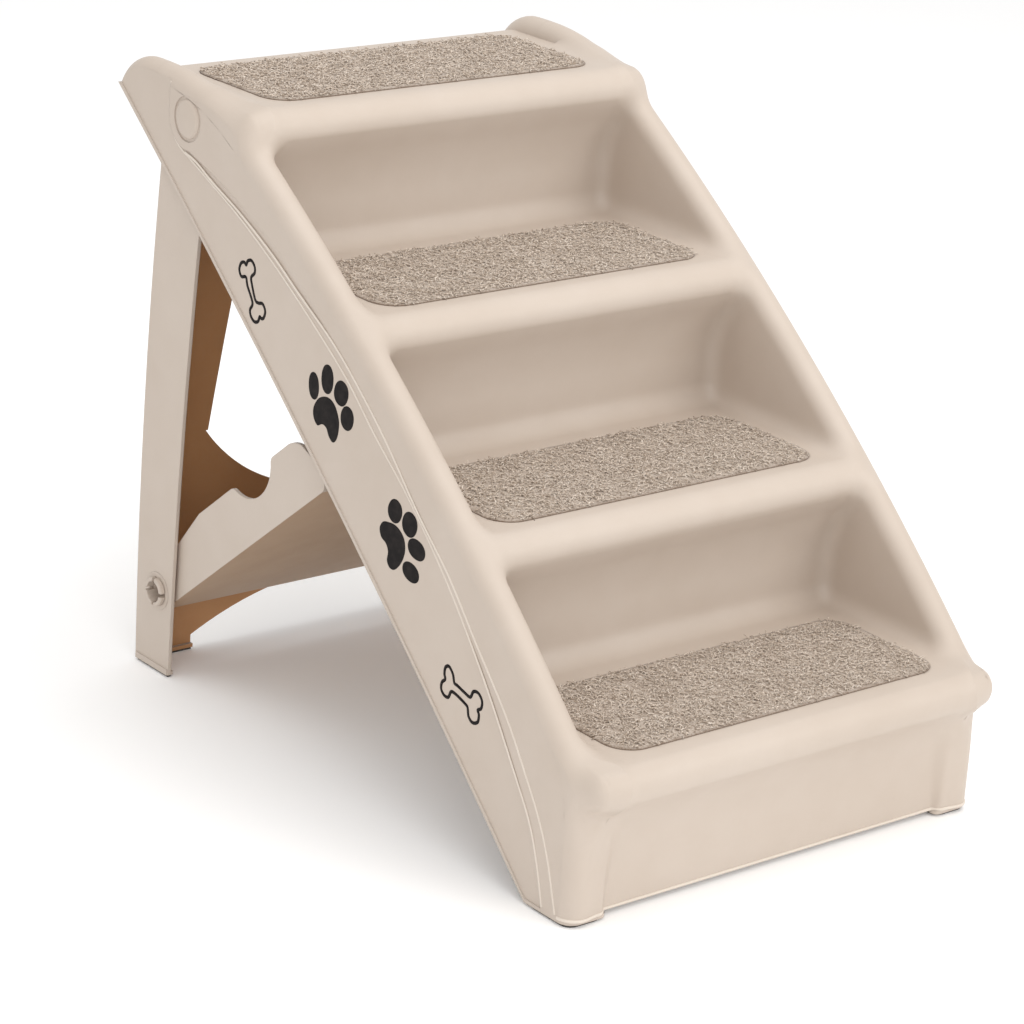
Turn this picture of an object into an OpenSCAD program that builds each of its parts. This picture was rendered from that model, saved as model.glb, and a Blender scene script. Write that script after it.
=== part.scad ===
// Folding pet stairs: a moulded four-step shell, a folding rear leg and a brace that locks the leg open.
// X runs across the stairs, Y from the front to the rear, Z up. The origin is on the floor under the middle.

/* [Overall size] */
// Width over the side faces of the shell
shell_w = 396; // [380:1:420]
// Length on the floor plan, from the first nose to the rear tip
depth = 620; // [614:1:626]
// Height of the rear of the cheeks
height = 495; // [492:0.5:498]

/* [Steps] */
// Distance from one nose to the next
going = 147.5; // [146:0.5:149]
// Height from one tread to the next
rise = 120; // [119:0.5:121]
// Height of the first tread above the floor
first_tread_z = 122.5; // [121:0.5:124]
// Radius of the round noses
nose_r = 17; // [15:0.5:18]
// How far the riser lies behind its nose
riser_back = 27; // [25:0.5:28]
// Fillet where a tread meets the next riser
riser_foot_r = 17; // [14:0.5:18]
// Wall thickness of the shell
wall = 3; // [2.6:0.1:3.4]
// Thickness of the ribs under the treads
rib_t = 2.4; // [1.8:0.1:4]

/* [Cheeks] */
// Width of the half-round rim of each cheek
rim_w = 24; // [22:0.5:26]
// Radius of the long arch of the rim
arch_r = 2460; // [2300:10:2600]
// How far the top of the arch lies under the line through the noses
rim_drop = 6.5; // [5:0.5:8]
// Radius of the rear hump of the rim
hump_r = 215; // [200:5:230]
// Radius of the brow that falls from the hump to the rear tip of the cheek
brow_r = 42; // [41:0.5:44]
// Distance from the rear tip of the cheeks forward to the middle of the brow
brow_in = 36; // [35:0.2:36.6]
// Radius of the rear tip of the cheek
tail_r = 5; // [3:0.5:7]
// Radius of the front shoulder of the rim
shoulder_r = 80; // [70:1:90]
// Distance from the first nose back to the face of the front posts
post_back = 21.5; // [20:0.5:24]
// Width of the front posts
post_w = 36; // [32:1:40]
// Length of each front foot on the floor
foot_len = 48.5; // [44:0.5:54]
// How far the lower rear area of the side face lies behind the upper front area
side_step = 1; // [0.6:0.1:1.2]

/* [Carpet pads] */
// Width of a pad across the tread
pad_w = 311.4; // [290:0.2:320]
// Length of a pad from front to rear
pad_l = 117; // [110:0.5:119]
// Corner radius of a pad
pad_r = 22; // [15:0.5:30]
// Thickness of a pad
pad_t = 3; // [2:0.1:5]
// Depth of the recess that a pad sits in
pad_sink = 1.2; // [0.8:0.1:1.4]
// Distance from a nose to the front edge of its pad
pad_back = 25.5; // [24:0.5:27]

/* [Rear leg] */
// Distance from the rear tip of the cheeks forward to the leg pivot
pivot_in = 97.6; // [97:0.2:98.4]
// Distance from the top of the cheeks down to the leg pivot
pivot_down = 33; // [32.4:0.2:33.6]
// Lean of the open leg from the vertical, in degrees
leg_lean = 4.65; // [4.4:0.05:4.9]
// Depth of the leg channel behind the pivot line at its top
leg_rear = 41; // [40:0.2:42]
// Radius of the round top end of the leg flanges
leg_end_r = 18; // [16:0.5:19]
// Radius of the arched lower edge of the window
window_r = 165; // [160:1:170]
// Radius of the arch between the two feet
foot_arch_r = 305; // [290:1:320]
// Diameter of the upper pivot shank
shank_d = 22; // [20:0.1:23]
// Diameter of the upper pivot cap
cap_d = 32.6; // [31:0.1:34]

/* [Brace] */
// Distance along the leg from the upper pivot to the lower pin
pin_along = 394.6; // [393:0.2:396]
// Diameter of the lower pins
pin_d = 22; // [18:0.1:22.4]
// Length of the brace panel from the lower pin to its free end
brace_len = 256; // [250:0.5:256.5]
// Depth of the brace flanges
brace_flange_h = 47; // [44:0.5:48]
// Angle of the open brace, from the floor to the panel, in degrees
brace_angle = 39; // [38.6:0.1:39.4]

/* [Fits] */
// Thickness of the rubber foot pads
foot_pad_t = 2; // [1.5:0.1:3]
// Radial clearance of a running pin
run_gap = 0.05; // [0.02:0.01:0.1]
// Gap between a pad and the wall of its recess
seat_gap = 0.5; // [0.3:0.05:1]

/* [Hidden] */
$fn = 64;

// One overrun serves every cut
over = 2;
// Overlap of shapes that are joined
lap = 1;
// A small running gap between faces that pass each other
side_gap = 0.3;

step_count = 4;
half_w = shell_w / 2;
half_depth = depth / 2;
slope = atan2(rise, going);
slope_dir = [cos(slope), sin(slope)];
slope_up = [-sin(slope), cos(slope)];

// Number of chords in the arcs of the outlines, and of sides in the round pieces of the rim
nose_steps = 9;
fillet_steps = 5;
long_steps = 14;
rim_sides = 32;

// Places of the noses, the treads and the post
function nose_y(k) = going * k - half_depth;
function tread_z(k) = first_tread_z + rise * k;
post_y = post_back - half_depth;
panel_y = riser_back - half_depth;
panel_foot_z = wall + foot_pad_t;

// Points on an arc about c from angle a0 to angle a1
function arc(c, r, a0, a1, n) = [for (i = [0:n]) c + r * [cos(a0 + (a1 - a0) * i / n), sin(a0 + (a1 - a0) * i / n)]];

// Points from p to q, bowed sideways by sag, flatter in the middle for a higher power
function across(p, q) = [p[1] - q[1], q[0] - p[0]] / norm(q - p);
function bow(p, q, sag, power, n) = [
    for (i = [0:n]) p + (q - p) * i / n + across(p, q) * sag * (1 - pow(abs(2 * i / n - 1), power))
];
function reversed(points) = [for (i = [len(points) - 1:-1:0]) points[i]];

// The hollow riser is an arc that leaves the riser plane upright and meets the nose at 45 degrees
nose_turn = 45;
hollow_r = (riser_back - nose_r + nose_r * cos(nose_turn)) / (1 - cos(nose_turn));
hollow_back = riser_back - hollow_r;
hollow_down = nose_r + (nose_r + hollow_r) * sin(nose_turn);

// One step of the profile, drawn inset by d into the material
function riser_foot(k, d) = arc(
    [nose_y(k) + riser_back - riser_foot_r, tread_z(k - 1) + riser_foot_r],
    riser_foot_r + d, -90, 0, fillet_steps
);
function step_front(k, d) = concat(
    k > 0 ? riser_foot(k, d) : [],
    arc([nose_y(k) + hollow_back, tread_z(k) - hollow_down], hollow_r + d, 0, nose_turn, fillet_steps),
    arc([nose_y(k) + nose_r, tread_z(k) - nose_r], nose_r - d, 180 + nose_turn, 90, nose_steps)
);

// The platform ends in a small roll and an apron
platform_in = 13;
apron_r = 10;
apron_h = 42.5;
platform_y = half_depth - platform_in;
platform_z = tread_z(step_count - 1);
function platform_rear(d) = arc([platform_y - apron_r, platform_z - apron_r], apron_r - d, 90, 0, fillet_steps);
function step_line(d) = concat([for (k = [0:step_count - 1]) each step_front(k, d)], platform_rear(d));

// Depth of the underside below the line through the noses, for the full body and for the cut under it
body_drop = 134;
cut_drop = 160;
function under_line(drop, y, z) = [y, z] - slope_up * drop;
nose_line_front = [-half_depth, tread_z(0)];
nose_line_rear = nose_line_front + slope_dir * depth;

// The four arcs of the rim meet each other smoothly
rim_r = rim_w / 2;
rim_x = half_w - rim_r;
arch_mid = ([nose_y(0), tread_z(0)] + [nose_y(step_count - 1), platform_z]) / 2;
arch_c = arch_mid - slope_up * (rim_drop + arch_r);
hump_c = [
    arch_c[0] - sqrt(pow(arch_r - hump_r, 2) - pow(height - hump_r - arch_c[1], 2)),
    height - hump_r
];
shoulder_c = [
    post_y + shoulder_r,
    arch_c[1] + sqrt(pow(arch_r - shoulder_r, 2) - pow(arch_c[0] - post_y - shoulder_r, 2))
];
brow_c = [half_depth - brow_in, height - brow_r];
tail_c = [
    half_depth - tail_r,
    brow_c[1] + sqrt(pow(brow_r - tail_r, 2) - pow(brow_in - tail_r, 2))
];
function bearing(from, to) = atan2(to[1] - from[1], to[0] - from[0]);
shoulder_end = bearing(arch_c, shoulder_c);
arch_end = bearing(arch_c, hump_c);
brow_end = 0;
tail_start = bearing(brow_c, tail_c);
tail_flat = 20;
tail_end = -46;

// The round pieces of the rim are tucked a little inside the flat sides, and tight arcs inside wide ones
tuck = 0.05;
tube_r = rim_r - tuck;
tuck_angle = 4;

// Line along the middle of the rim, from the post to the rear tip
rim_line = concat(
    arc(shoulder_c, shoulder_r - tube_r, 180, shoulder_end, fillet_steps),
    arc(arch_c, arch_r - tube_r, shoulder_end, arch_end, long_steps),
    arc(hump_c, hump_r - tube_r, arch_end, 90, fillet_steps),
    arc(brow_c, brow_r - tube_r, 90, tail_start, fillet_steps)
);

// Lower edge of the cheek, from the rear tip to the heel of the front foot
lower_sag = 8;
lower_power = 2;
heel = [post_y + foot_len, foot_pad_t];
tail_tip = tail_c + tail_r * [cos(tail_end), sin(tail_end)];
lower_edge = bow(tail_tip, heel, -lower_sag, lower_power, long_steps);

// The leg pivot and the lower pin, as places in the side view
pivot = [half_depth - pivot_in, height - pivot_down];
leg_down = [sin(leg_lean), -cos(leg_lean)];
leg_back = [cos(leg_lean), sin(leg_lean)];
pin = pivot + leg_down * pin_along;

// Layers of the parts across the stairs, from the outside inwards
inner_x = half_w - wall;
leg_wall = 3;
boss_h = 4.7;
leg_x = inner_x - boss_h - side_gap;
leg_inner_x = leg_x - leg_wall;
brace_wall = 3;
pin_boss_h = 2.2;
brace_x = leg_inner_x - pin_boss_h - side_gap;
brace_inner_x = brace_x - brace_wall;

// A profile of the side view, extruded across from x0 to x1
module across_body(x0, x1) {
    translate([x0, 0, 0]) rotate([90, 0, 90]) linear_extrude(x1 - x0) children();
}

// The same thing on both sides
module both_sides() {
    children();
    mirror([1, 0, 0]) children();
}

// One arc of the rim about c, with its crest at crest_r, as a bent tube of radius r
module rim_arc(c, crest_r, a0, a1, r) {
    translate([rim_x, c[0], c[1]]) rotate([90, 0, 90]) rotate(a0)
        rotate_extrude(angle = a1 - a0, $fn = round(crest_r)) translate([crest_r - tube_r, 0]) circle(r, $fn = rim_sides);
}

// The rim of one cheek: straight and wide pieces with the radius r, and tight arcs that reach into them
module rim(r, foot_z) {
    translate([rim_x, post_y + tube_r, foot_z]) cylinder(r = r, h = shoulder_c[1] - foot_z);
    rim_arc(shoulder_c, shoulder_r, shoulder_end - tuck_angle, 180 + tuck_angle, r - tuck);
    rim_arc(arch_c, arch_r, arch_end, shoulder_end, r);
    rim_arc(hump_c, hump_r, 90 - tuck_angle, arch_end + tuck_angle, r - tuck);
    translate([rim_x, hump_c[0], height - tube_r]) rotate([-90, 0, 0])
        cylinder(r = r, h = brow_c[0] - hump_c[0]);
    rim_arc(brow_c, brow_r, brow_end, 90 + tuck_angle, r - tuck);
}

// Side view within which the rear tip of the cheek ends
module cheek_outline() {
    polygon(concat(
        [[post_y - over, -over], [post_y - over, height + over], [half_depth + over, height + over]],
        [brow_c + (brow_r + over) * [cos(tail_start), sin(tail_start)]],
        arc(tail_c, tail_r, tail_start - tail_flat, tail_end, fillet_steps),
        lower_edge,
        [[heel[0], -over]]
    ));
}

// Solid cheek between its two side faces
module cheek_form() {
    intersection() {
        rim(tube_r, foot_pad_t);
        across_body(half_w - rim_w - over, half_w + over) cheek_outline();
    }
    across_body(half_w - rim_w, half_w)
        polygon(concat([[post_y + tube_r, foot_pad_t]], rim_line, lower_edge));
}

// Hollow inside the cheek, open below
open_depth = 26;
module cheek_hollow() {
    rim(tube_r - wall, -over);
    across_body(half_w - rim_w + wall, inner_x)
        polygon(concat([[post_y + tube_r, -over]], rim_line, [
            tail_tip - slope_up * open_depth,
            heel - slope_up * open_depth
        ]));
}

// The post is wider than the rim and stands in front of the panel
post_edge_r = 5;
post_top_z = tread_z(0) - nose_r;
module post_form(d, y_back, z0, z1) {
    x0 = half_w - post_w + d;
    y0 = post_y + d;
    translate([0, 0, z0]) linear_extrude(z1 - z0) polygon(concat(
        arc([half_w - post_w + post_edge_r, post_y + post_edge_r], post_edge_r - d, 180, 270, fillet_steps),
        [[rim_x - lap, y0], [rim_x - lap, y_back], [x0, y_back]]
    ));
}

// Rounded end of the first or the last nose, which runs over the rim
end_proud = 0.4;
end_out = 2;
end_sides = 32;
end_x = half_w - rim_w + end_out;
first_roll = 26;
last_roll = 70;
end_steps = 6;
module nose_end(k, roll, d) {
    r = nose_r + end_proud - d;
    translate([end_x, nose_y(k) + nose_r, tread_z(k) - nose_r]) rotate([-90, 0, 0]) rotate_extrude($fn = end_sides)
        polygon(concat(arc([0, 0], r, -90, 0, end_steps), [[r, roll], [0, roll]]));
}

// Outer and inner form of the shell
body_x = half_w - rim_w + lap;
module shell_form() {
    across_body(-body_x, body_x) polygon(concat(
        [[panel_y, panel_foot_z]],
        step_line(0),
        [[platform_y, platform_z - apron_h]],
        [under_line(body_drop, nose_line_rear[0], nose_line_rear[1])],
        [[panel_y + foot_len, panel_foot_z]]
    ));
    both_sides() {
        cheek_form();
        post_form(0, panel_y + wall / 2, foot_pad_t, post_top_z);
        nose_end(0, first_roll, 0);
        nose_end(step_count - 1, last_roll, 0);
    }
}
module under_steps() {
    polygon(concat(
        [[panel_y + wall, -over]],
        step_line(wall),
        [[platform_y - wall, platform_z - apron_h - over]],
        [under_line(cut_drop, nose_line_rear[0], nose_line_rear[1])],
        [under_line(cut_drop, nose_line_front[0], nose_line_front[1])]
    ));
}
module under_rim() {
    polygon(concat(
        [[panel_y + wall, -over]],
        rim_line,
        [under_line(cut_drop, nose_line_rear[0], nose_line_rear[1])],
        [under_line(cut_drop, nose_line_front[0], nose_line_front[1])]
    ));
    translate([panel_y + wall, 0]) square([rim_w, post_top_z - rim_r]);
}
module shell_hollow() {
    across_body(wall - body_x, body_x - wall) under_steps();
    across_body(tuck - inner_x, inner_x - tuck) intersection() {
        under_steps();
        under_rim();
    }
    both_sides() {
        cheek_hollow();
        post_form(wall, panel_y + wall + lap, -over, post_top_z);
        nose_end(0, first_roll - wall, wall);
        nose_end(step_count - 1, last_roll - wall, wall);
    }
}

// Floor plate of a front foot
foot_inset = 1;
foot_pad_inset = 2;
foot_corner_r = 8;
module foot_plan(d) {
    x0 = half_w - post_w + d;
    x1 = half_w - d;
    y0 = post_y + d;
    y1 = heel[0] - d;
    r = foot_corner_r;
    polygon(concat(
        arc([x1 - r, y1 - r], r, 0, 90, fillet_steps),
        arc([x0 + r, y1 - r], r, 90, 180, fillet_steps),
        arc([x0 + r, y0 + r], r, 180, 270, fillet_steps),
        arc([x1 - r, y0 + r], r, 270, 360, fillet_steps)
    ));
}
module foot_plate() {
    translate([0, 0, foot_pad_t]) linear_extrude(wall) foot_plan(foot_inset);
}

// Ribs along the underside, between the corners of the steps
rib_drop = 102;
rib_places = [0, 62, 124];
rib_from = 70;
rib_to = 600;
module ribs() {
    for (x = rib_places) both_sides() {
        intersection() {
            across_body(x - rib_t / 2, x + rib_t / 2) polygon(concat(
                [[panel_y + wall / 2, panel_foot_z]], step_line(wall / 2), [[platform_y, panel_foot_z]]
            ));
            across_body(x - rib_t, x + rib_t) polygon([
                nose_line_front + slope_dir * rib_from,
                nose_line_front + slope_dir * rib_to,
                nose_line_front + slope_dir * rib_to - slope_up * rib_drop,
                nose_line_front + slope_dir * rib_from - slope_up * rib_drop
            ]);
        }
    }
}

// Brace outline places: s runs along the panel from the pin, h across its flanges
brace_pin_h = 14.4;
brace_wall_web = 3;
module brace_place() {
    translate(pin) rotate(180 - brace_angle) mirror([0, 1]) translate([0, -brace_pin_h]) children();
}

// Catch lugs under the third tread, against which the free end of the brace rests
lug_x = 85;
lug_t = 5;
lug_h = 8;
lug_reach = 6;
lug_len = 40;
module catch_lugs() {
    both_sides() intersection() {
        across_body(lug_x - lug_t / 2, lug_x + lug_t / 2) brace_place()
            translate([brace_len - lug_reach, brace_wall_web + side_gap]) square([lug_len, lug_h]);
        across_body(lug_x - lug_t, lug_x + lug_t) polygon(concat(
            [[panel_y, panel_foot_z]], step_line(wall / 2), [[platform_y, -over]]
        ));
    }
}

// Recesses of the carpet pads
module pad_plan(gap) {
    w = pad_w / 2 + gap;
    l = pad_l / 2 + gap;
    r = pad_r + gap;
    polygon(concat(
        arc([w - r, l - r], r, 0, 90, fillet_steps),
        arc([r - w, l - r], r, 90, 180, fillet_steps),
        arc([r - w, r - l], r, 180, 270, fillet_steps),
        arc([w - r, r - l], r, 270, 360, fillet_steps)
    ));
}
module pad_place(k) {
    translate([0, nose_y(k) + pad_back + pad_l / 2, tread_z(k) - pad_sink]) children();
}

// Lower rear area of the side face, one step deeper than the rest
step_from = [30, 3];
step_sag = 61;
step_power = 2.6;
edge_bead = 3;
cap_ring_play = 1.2;
cap_ring_r = cap_d / 2 + cap_ring_play;
cap_ring_gap = 7;
step_turn = -100;
module side_recess() {
    ring_r = cap_ring_r + cap_ring_gap;
    start = [post_y + step_from[0], foot_pad_t + step_from[1]];
    turn = pivot + ring_r * [cos(step_turn), sin(step_turn)];
    across_body(half_w - side_step, half_w + over) polygon(concat(
        bow(start, turn, step_sag, step_power, long_steps),
        arc(pivot, ring_r, step_turn, 0, fillet_steps),
        [[pivot[0] + ring_r, height + over], [half_depth + over, height + over], [half_depth + over, tail_tip[1]]],
        [for (i = [0:long_steps - 1]) lower_edge[i] + slope_up * edge_bead],
        [[heel[0], start[1]]]
    ));
}

// A round boss or cut about an axis across the stairs
module across_disc(place, r, x0, x1) {
    translate([x0, place[0], place[1]]) rotate([0, 90, 0]) cylinder(r = r, h = x1 - x0);
}

// The upper pivot
boss_r = 16;
bore_r = shank_d / 2;
module stair_shell() {
    color([0.91, 0.86, 0.74])
    difference() {
        union() {
            difference() {
                shell_form();
                shell_hollow();
            }
            both_sides() {
                foot_plate();
                across_disc(pivot, boss_r, inner_x - boss_h, inner_x + lap);
            }
            ribs();
            catch_lugs();
        }
        both_sides() {
            side_recess();
            across_disc(pivot, cap_ring_r, half_w - side_step, half_w + over);
            across_disc(pivot, bore_r, inner_x - boss_h - over, half_w + over);
        }
        for (k = [0:step_count - 1]) pad_place(k) linear_extrude(pad_sink + over) pad_plan(seat_gap);
    }
}

// A carpet pad
module tread_pad(k) {
    color([0.80, 0.73, 0.60]) pad_place(k) linear_extrude(pad_t) pad_plan(0);
}

// A pivot cap: a round head outside and a hollow split shank that carries the leg
cap_t = 3;
cap_round = 2;
shank_wall = 2.4;
slit_w = 3;
barb = 0.9;
barb_l = 3;
shank_end = leg_wall + side_gap + barb_l;
module slits(x0, x1, r) {
    for (a = [0, 90]) translate([x0, 0, 0]) rotate([a, 0, 0])
        translate([0, -slit_w / 2, -r - over]) cube([x1 - x0, slit_w, (r + over) * 2]);
}
module pivot_cap() {
    x_face = half_w - side_step;
    r = bore_r - run_gap;
    x_tip = leg_x - shank_end;
    color([0.91, 0.86, 0.74])
    translate([0, pivot[0], pivot[1]]) difference() {
        rotate([0, 90, 0]) rotate_extrude() polygon([
            [0, x_face + cap_t], [cap_d / 2 - cap_round, x_face + cap_t],
            [cap_d / 2, x_face + cap_t - cap_round], [cap_d / 2, x_face],
            [r, x_face], [r, leg_inner_x - side_gap],
            [r + barb, leg_inner_x - side_gap], [r, x_tip],
            [r - shank_wall, x_tip], [r - shank_wall, x_face], [0, x_face]
        ]);
        slits(x_tip - over, leg_x - side_gap, r);
    }
}

// The pad under a front foot
module front_foot() {
    color([0.22, 0.21, 0.20]) linear_extrude(foot_pad_t) foot_plan(foot_pad_inset);
}

// The rear leg, in its own side view: back is along +X and up is along +Y of the drawing
leg_bow = 6.5;
leg_front_bow = 5.5;
leg_len = 465;
leg_toe_rear = 23.5;
leg_toe_front = 24;
leg_top = 30;
leg_power = 2;
leg_steps = 10;
module leg_place() {
    translate(pivot) rotate(leg_lean) children();
}
function leg_rear_line(d) = bow([leg_rear - d, -leg_top], [leg_toe_rear - d, -leg_len], leg_bow, leg_power, leg_steps);
function leg_front_line() = bow([-leg_toe_front, -leg_len], [-leg_end_r, -leg_top], -leg_front_bow, leg_power, leg_steps);
module above_floor() {
    intersection() {
        children();
        translate([0, foot_pad_t]) square([depth, height]);
    }
}
module leg_side() {
    above_floor() leg_place() polygon(concat(
        arc([0, 0], leg_end_r, 180, 20, fillet_steps), leg_rear_line(0), leg_front_line()
    ));
}
module leg_back_strip() {
    above_floor() leg_place() polygon(concat(leg_rear_line(0), reversed(leg_rear_line(leg_wall))));
}

// Window and foot arch of the leg, seen from the rear
window_c_z = 286;
window_low_z = 186;
window_low_w = 260;
window_top_z = 400;
window_top_w = 208;
window_corner_r = 26;
foot_arch_z = 45;
foot_gap_w = 278;
module leg_window() {
    intersection() {
        translate([0, window_c_z]) circle(window_r, $fn = $fn * 2);
        translate([-window_r, 0]) square([window_r * 2, window_low_z + lap]);
    }
    polygon(concat(
        [[-window_low_w / 2, window_low_z], [window_low_w / 2, window_low_z]],
        arc([window_top_w / 2 - window_corner_r, window_top_z - window_corner_r], window_corner_r, 0, 90, fillet_steps),
        arc([window_corner_r - window_top_w / 2, window_top_z - window_corner_r], window_corner_r, 90, 180, fillet_steps)
    ));
}
module leg_foot_arch() {
    intersection() {
        translate([0, foot_arch_z - foot_arch_r]) circle(foot_arch_r, $fn = $fn * 2);
        translate([-foot_gap_w / 2, -over]) square([foot_gap_w, window_low_z]);
    }
}
module through_back() {
    translate([0, half_depth + over, 0]) rotate([90, 0, 0]) linear_extrude(half_depth) children();
}

// Floor edge of a rear foot: an angle that follows the flange and the web, with a low lip outside
leg_web_x = leg_inner_x + lap;
pin_ring_r = 15.5;
pin_ring_h = 0.5;
foot_edge_w = leg_wall + pin_boss_h;
foot_lip_h = 5;
foot_lip_t = 1;
rear_pad_in = 1;
module leg_foot_block(z0, z1, d) {
    translate([0, 0, z0]) linear_extrude(z1 - z0) polygon([
        [leg_x - foot_edge_w + d, toe_front_y + d], [leg_x - d, toe_front_y + d],
        [leg_x - d, toe_rear_y - d], [foot_gap_w / 2 + d, toe_rear_y - d],
        [foot_gap_w / 2 + d, toe_rear_y - foot_edge_w + d], [leg_x - foot_edge_w + d, toe_rear_y - foot_edge_w + d]
    ]);
}
module leg_foot_lip() {
    translate([leg_x - lap, toe_front_y, foot_pad_t])
        cube([lap + foot_lip_t, toe_rear_y - toe_front_y, foot_lip_h]);
}
toe_z = (foot_pad_t - pivot[1]) / leg_down[1];
toe_front_y = pivot[0] + leg_down[0] * toe_z - leg_back[0] * leg_toe_front + lap;
toe_rear_y = pivot[0] + leg_down[0] * toe_z + leg_back[0] * leg_toe_rear - lap;
module rear_leg_frame() {
    color([0.91, 0.86, 0.74])
    difference() {
        union() {
            both_sides() {
                across_body(leg_inner_x, leg_x) leg_side();
                across_disc(pin, pin_ring_r, leg_inner_x - pin_boss_h, leg_x + pin_ring_h);
                leg_foot_block(foot_pad_t, foot_pad_t + leg_wall, 0);
                leg_foot_lip();
            }
            difference() {
                across_body(-leg_web_x, leg_web_x) leg_back_strip();
                through_back() {
                    leg_window();
                    leg_foot_arch();
                }
            }
        }
        both_sides() {
            across_disc(pivot, bore_r, leg_inner_x - over, leg_x + over);
            across_disc(pin, pin_d / 2, leg_inner_x - pin_boss_h - over, leg_x + pin_ring_h + over);
        }
    }
}
module rear_foot() {
    color([0.22, 0.21, 0.20]) leg_foot_block(0, foot_pad_t, rear_pad_in);
}

// The brace: a panel with two flanges, each scooped in the middle
flange_over = 7;
flange_r = 14.4;
flange_full_s = 86;
scoop_r = 34;
scoop_s = 174;
scoop_h = 62;
flange_end = brace_len + flange_over;
brace_tail = 8;
ridge_s = 159;
ridge_h = 1.5;
ridge_w = 8;
tip_cut = [14, 7];
module brace_flange_side() {
    brace_place() difference() {
        polygon(concat(
            arc([0, brace_pin_h], flange_r, 270, 120, nose_steps),
            [[flange_full_s, brace_flange_h], [flange_end - tip_cut[0] - tip_cut[1], brace_flange_h],
             [flange_end - tip_cut[0], brace_flange_h - tip_cut[1]], [flange_end, brace_pin_h], [flange_end, tip_cut[1]],
             [flange_end - tip_cut[1], 0]]
        ));
        translate([scoop_s, scoop_h]) circle(scoop_r);
    }
}
module brace_panel() {
    web_x = brace_inner_x + lap;
    color([0.91, 0.86, 0.74])
    difference() {
        union() {
            across_body(-web_x, web_x) brace_place() {
                translate([-brace_tail, 0]) square([brace_len + brace_tail, brace_wall_web]);
                translate([ridge_s - ridge_w / 2, brace_wall_web - lap]) square([ridge_w, ridge_h + lap]);
            }
            both_sides() across_body(brace_inner_x, brace_x) brace_flange_side();
        }
        both_sides() across_disc(pin, pin_d / 2, brace_inner_x - over, brace_x + over);
    }
}

// A lower pin: a head inside the brace with a flat along its panel, and a hollow split shank that snaps
// out through the leg
pin_head_r = 14;
pin_head_t = 2.5;
pin_proud = 4;
pin_tip_r = 0.8;
module lower_pin() {
    r = pin_d / 2 - run_gap;
    x_out = leg_x + pin_ring_h + side_gap;
    x_tip = x_out + pin_proud;
    x_head = brace_inner_x - pin_head_t;
    color([0.91, 0.86, 0.74])
    difference() {
        translate([0, pin[0], pin[1]]) rotate([0, 90, 0]) rotate_extrude() polygon([
            [r - shank_wall, x_head], [pin_head_r, x_head], [pin_head_r, brace_inner_x],
            [r, brace_inner_x], [r, x_out], [r + barb, x_out], [r + barb, x_tip - pin_tip_r],
            [r, x_tip], [r - shank_wall, x_tip]
        ]);
        translate([0, pin[0], pin[1]]) slits(leg_inner_x, x_tip + over, r);
        across_body(x_head - over, brace_inner_x) brace_place()
            translate([-pin_head_r, -pin_head_r])
                square([pin_head_r * 2, pin_head_r + brace_wall_web + side_gap]);
    }
}

stair_shell();
tread_pad(0);  // tread_pad_1
tread_pad(1);  // tread_pad_2
tread_pad(2);  // tread_pad_3
tread_pad(3);  // tread_pad_4
mirror([1, 0, 0]) pivot_cap();  // pivot_cap_left
pivot_cap();  // pivot_cap_right
mirror([1, 0, 0]) front_foot();  // front_foot_left
front_foot();  // front_foot_right
rear_leg_frame();
mirror([1, 0, 0]) rear_foot();  // rear_foot_left
rear_foot();  // rear_foot_right
brace_panel();
mirror([1, 0, 0]) lower_pin();  // lower_pin_left
lower_pin();  // lower_pin_right
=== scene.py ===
"""Looks of the folding pet stairs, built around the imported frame.

Lengths are in metres. X runs across the stairs, Y from the front to the rear, Z up, and the origin is on the
floor under the middle. Places in the side view are (y, z) pairs in millimetres, turned into metres by mm().
"""

import logging
import math
from dataclasses import dataclass, field
from enum import Enum
from typing import Iterator, Optional, Sequence, Union

import bmesh
import bpy
import numpy as np
from mathutils import Matrix, Vector


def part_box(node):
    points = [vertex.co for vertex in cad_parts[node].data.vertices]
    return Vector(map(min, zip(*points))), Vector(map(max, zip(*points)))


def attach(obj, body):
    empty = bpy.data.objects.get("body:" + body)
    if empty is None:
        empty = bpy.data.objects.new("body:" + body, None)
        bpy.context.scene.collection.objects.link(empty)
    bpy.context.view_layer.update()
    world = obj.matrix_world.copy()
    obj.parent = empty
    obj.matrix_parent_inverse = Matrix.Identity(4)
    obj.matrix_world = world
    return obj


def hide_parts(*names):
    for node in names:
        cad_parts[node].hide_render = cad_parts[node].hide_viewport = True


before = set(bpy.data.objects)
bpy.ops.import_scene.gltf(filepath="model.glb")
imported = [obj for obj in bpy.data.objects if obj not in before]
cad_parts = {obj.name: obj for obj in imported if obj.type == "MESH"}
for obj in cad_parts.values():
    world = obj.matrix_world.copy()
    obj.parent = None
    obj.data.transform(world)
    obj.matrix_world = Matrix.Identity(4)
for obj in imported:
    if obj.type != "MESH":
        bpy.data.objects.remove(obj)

LOG = logging.getLogger("pet_stairs")
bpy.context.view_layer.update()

Pair = tuple[float, float]
Triple = tuple[float, float, float]
Colour = tuple[float, float, float]


def mm(value: float) -> float:
    """Millimetres as metres."""
    return value / 1000.0


class Side(Enum):
    """The two sides of the stairs, as the sign of X."""

    LEFT = -1
    RIGHT = 1


class Body(Enum):
    """The rigid bodies of the frame."""

    SHELL = "shell"
    LEG = "leg"
    BRACE = "brace"


class Slot(Enum):
    """The record's material slots."""

    MOULDING = "moulding"
    CARPET = "carpet"


# ---- node trees --------------------------------------------------------------------------------------------


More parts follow.
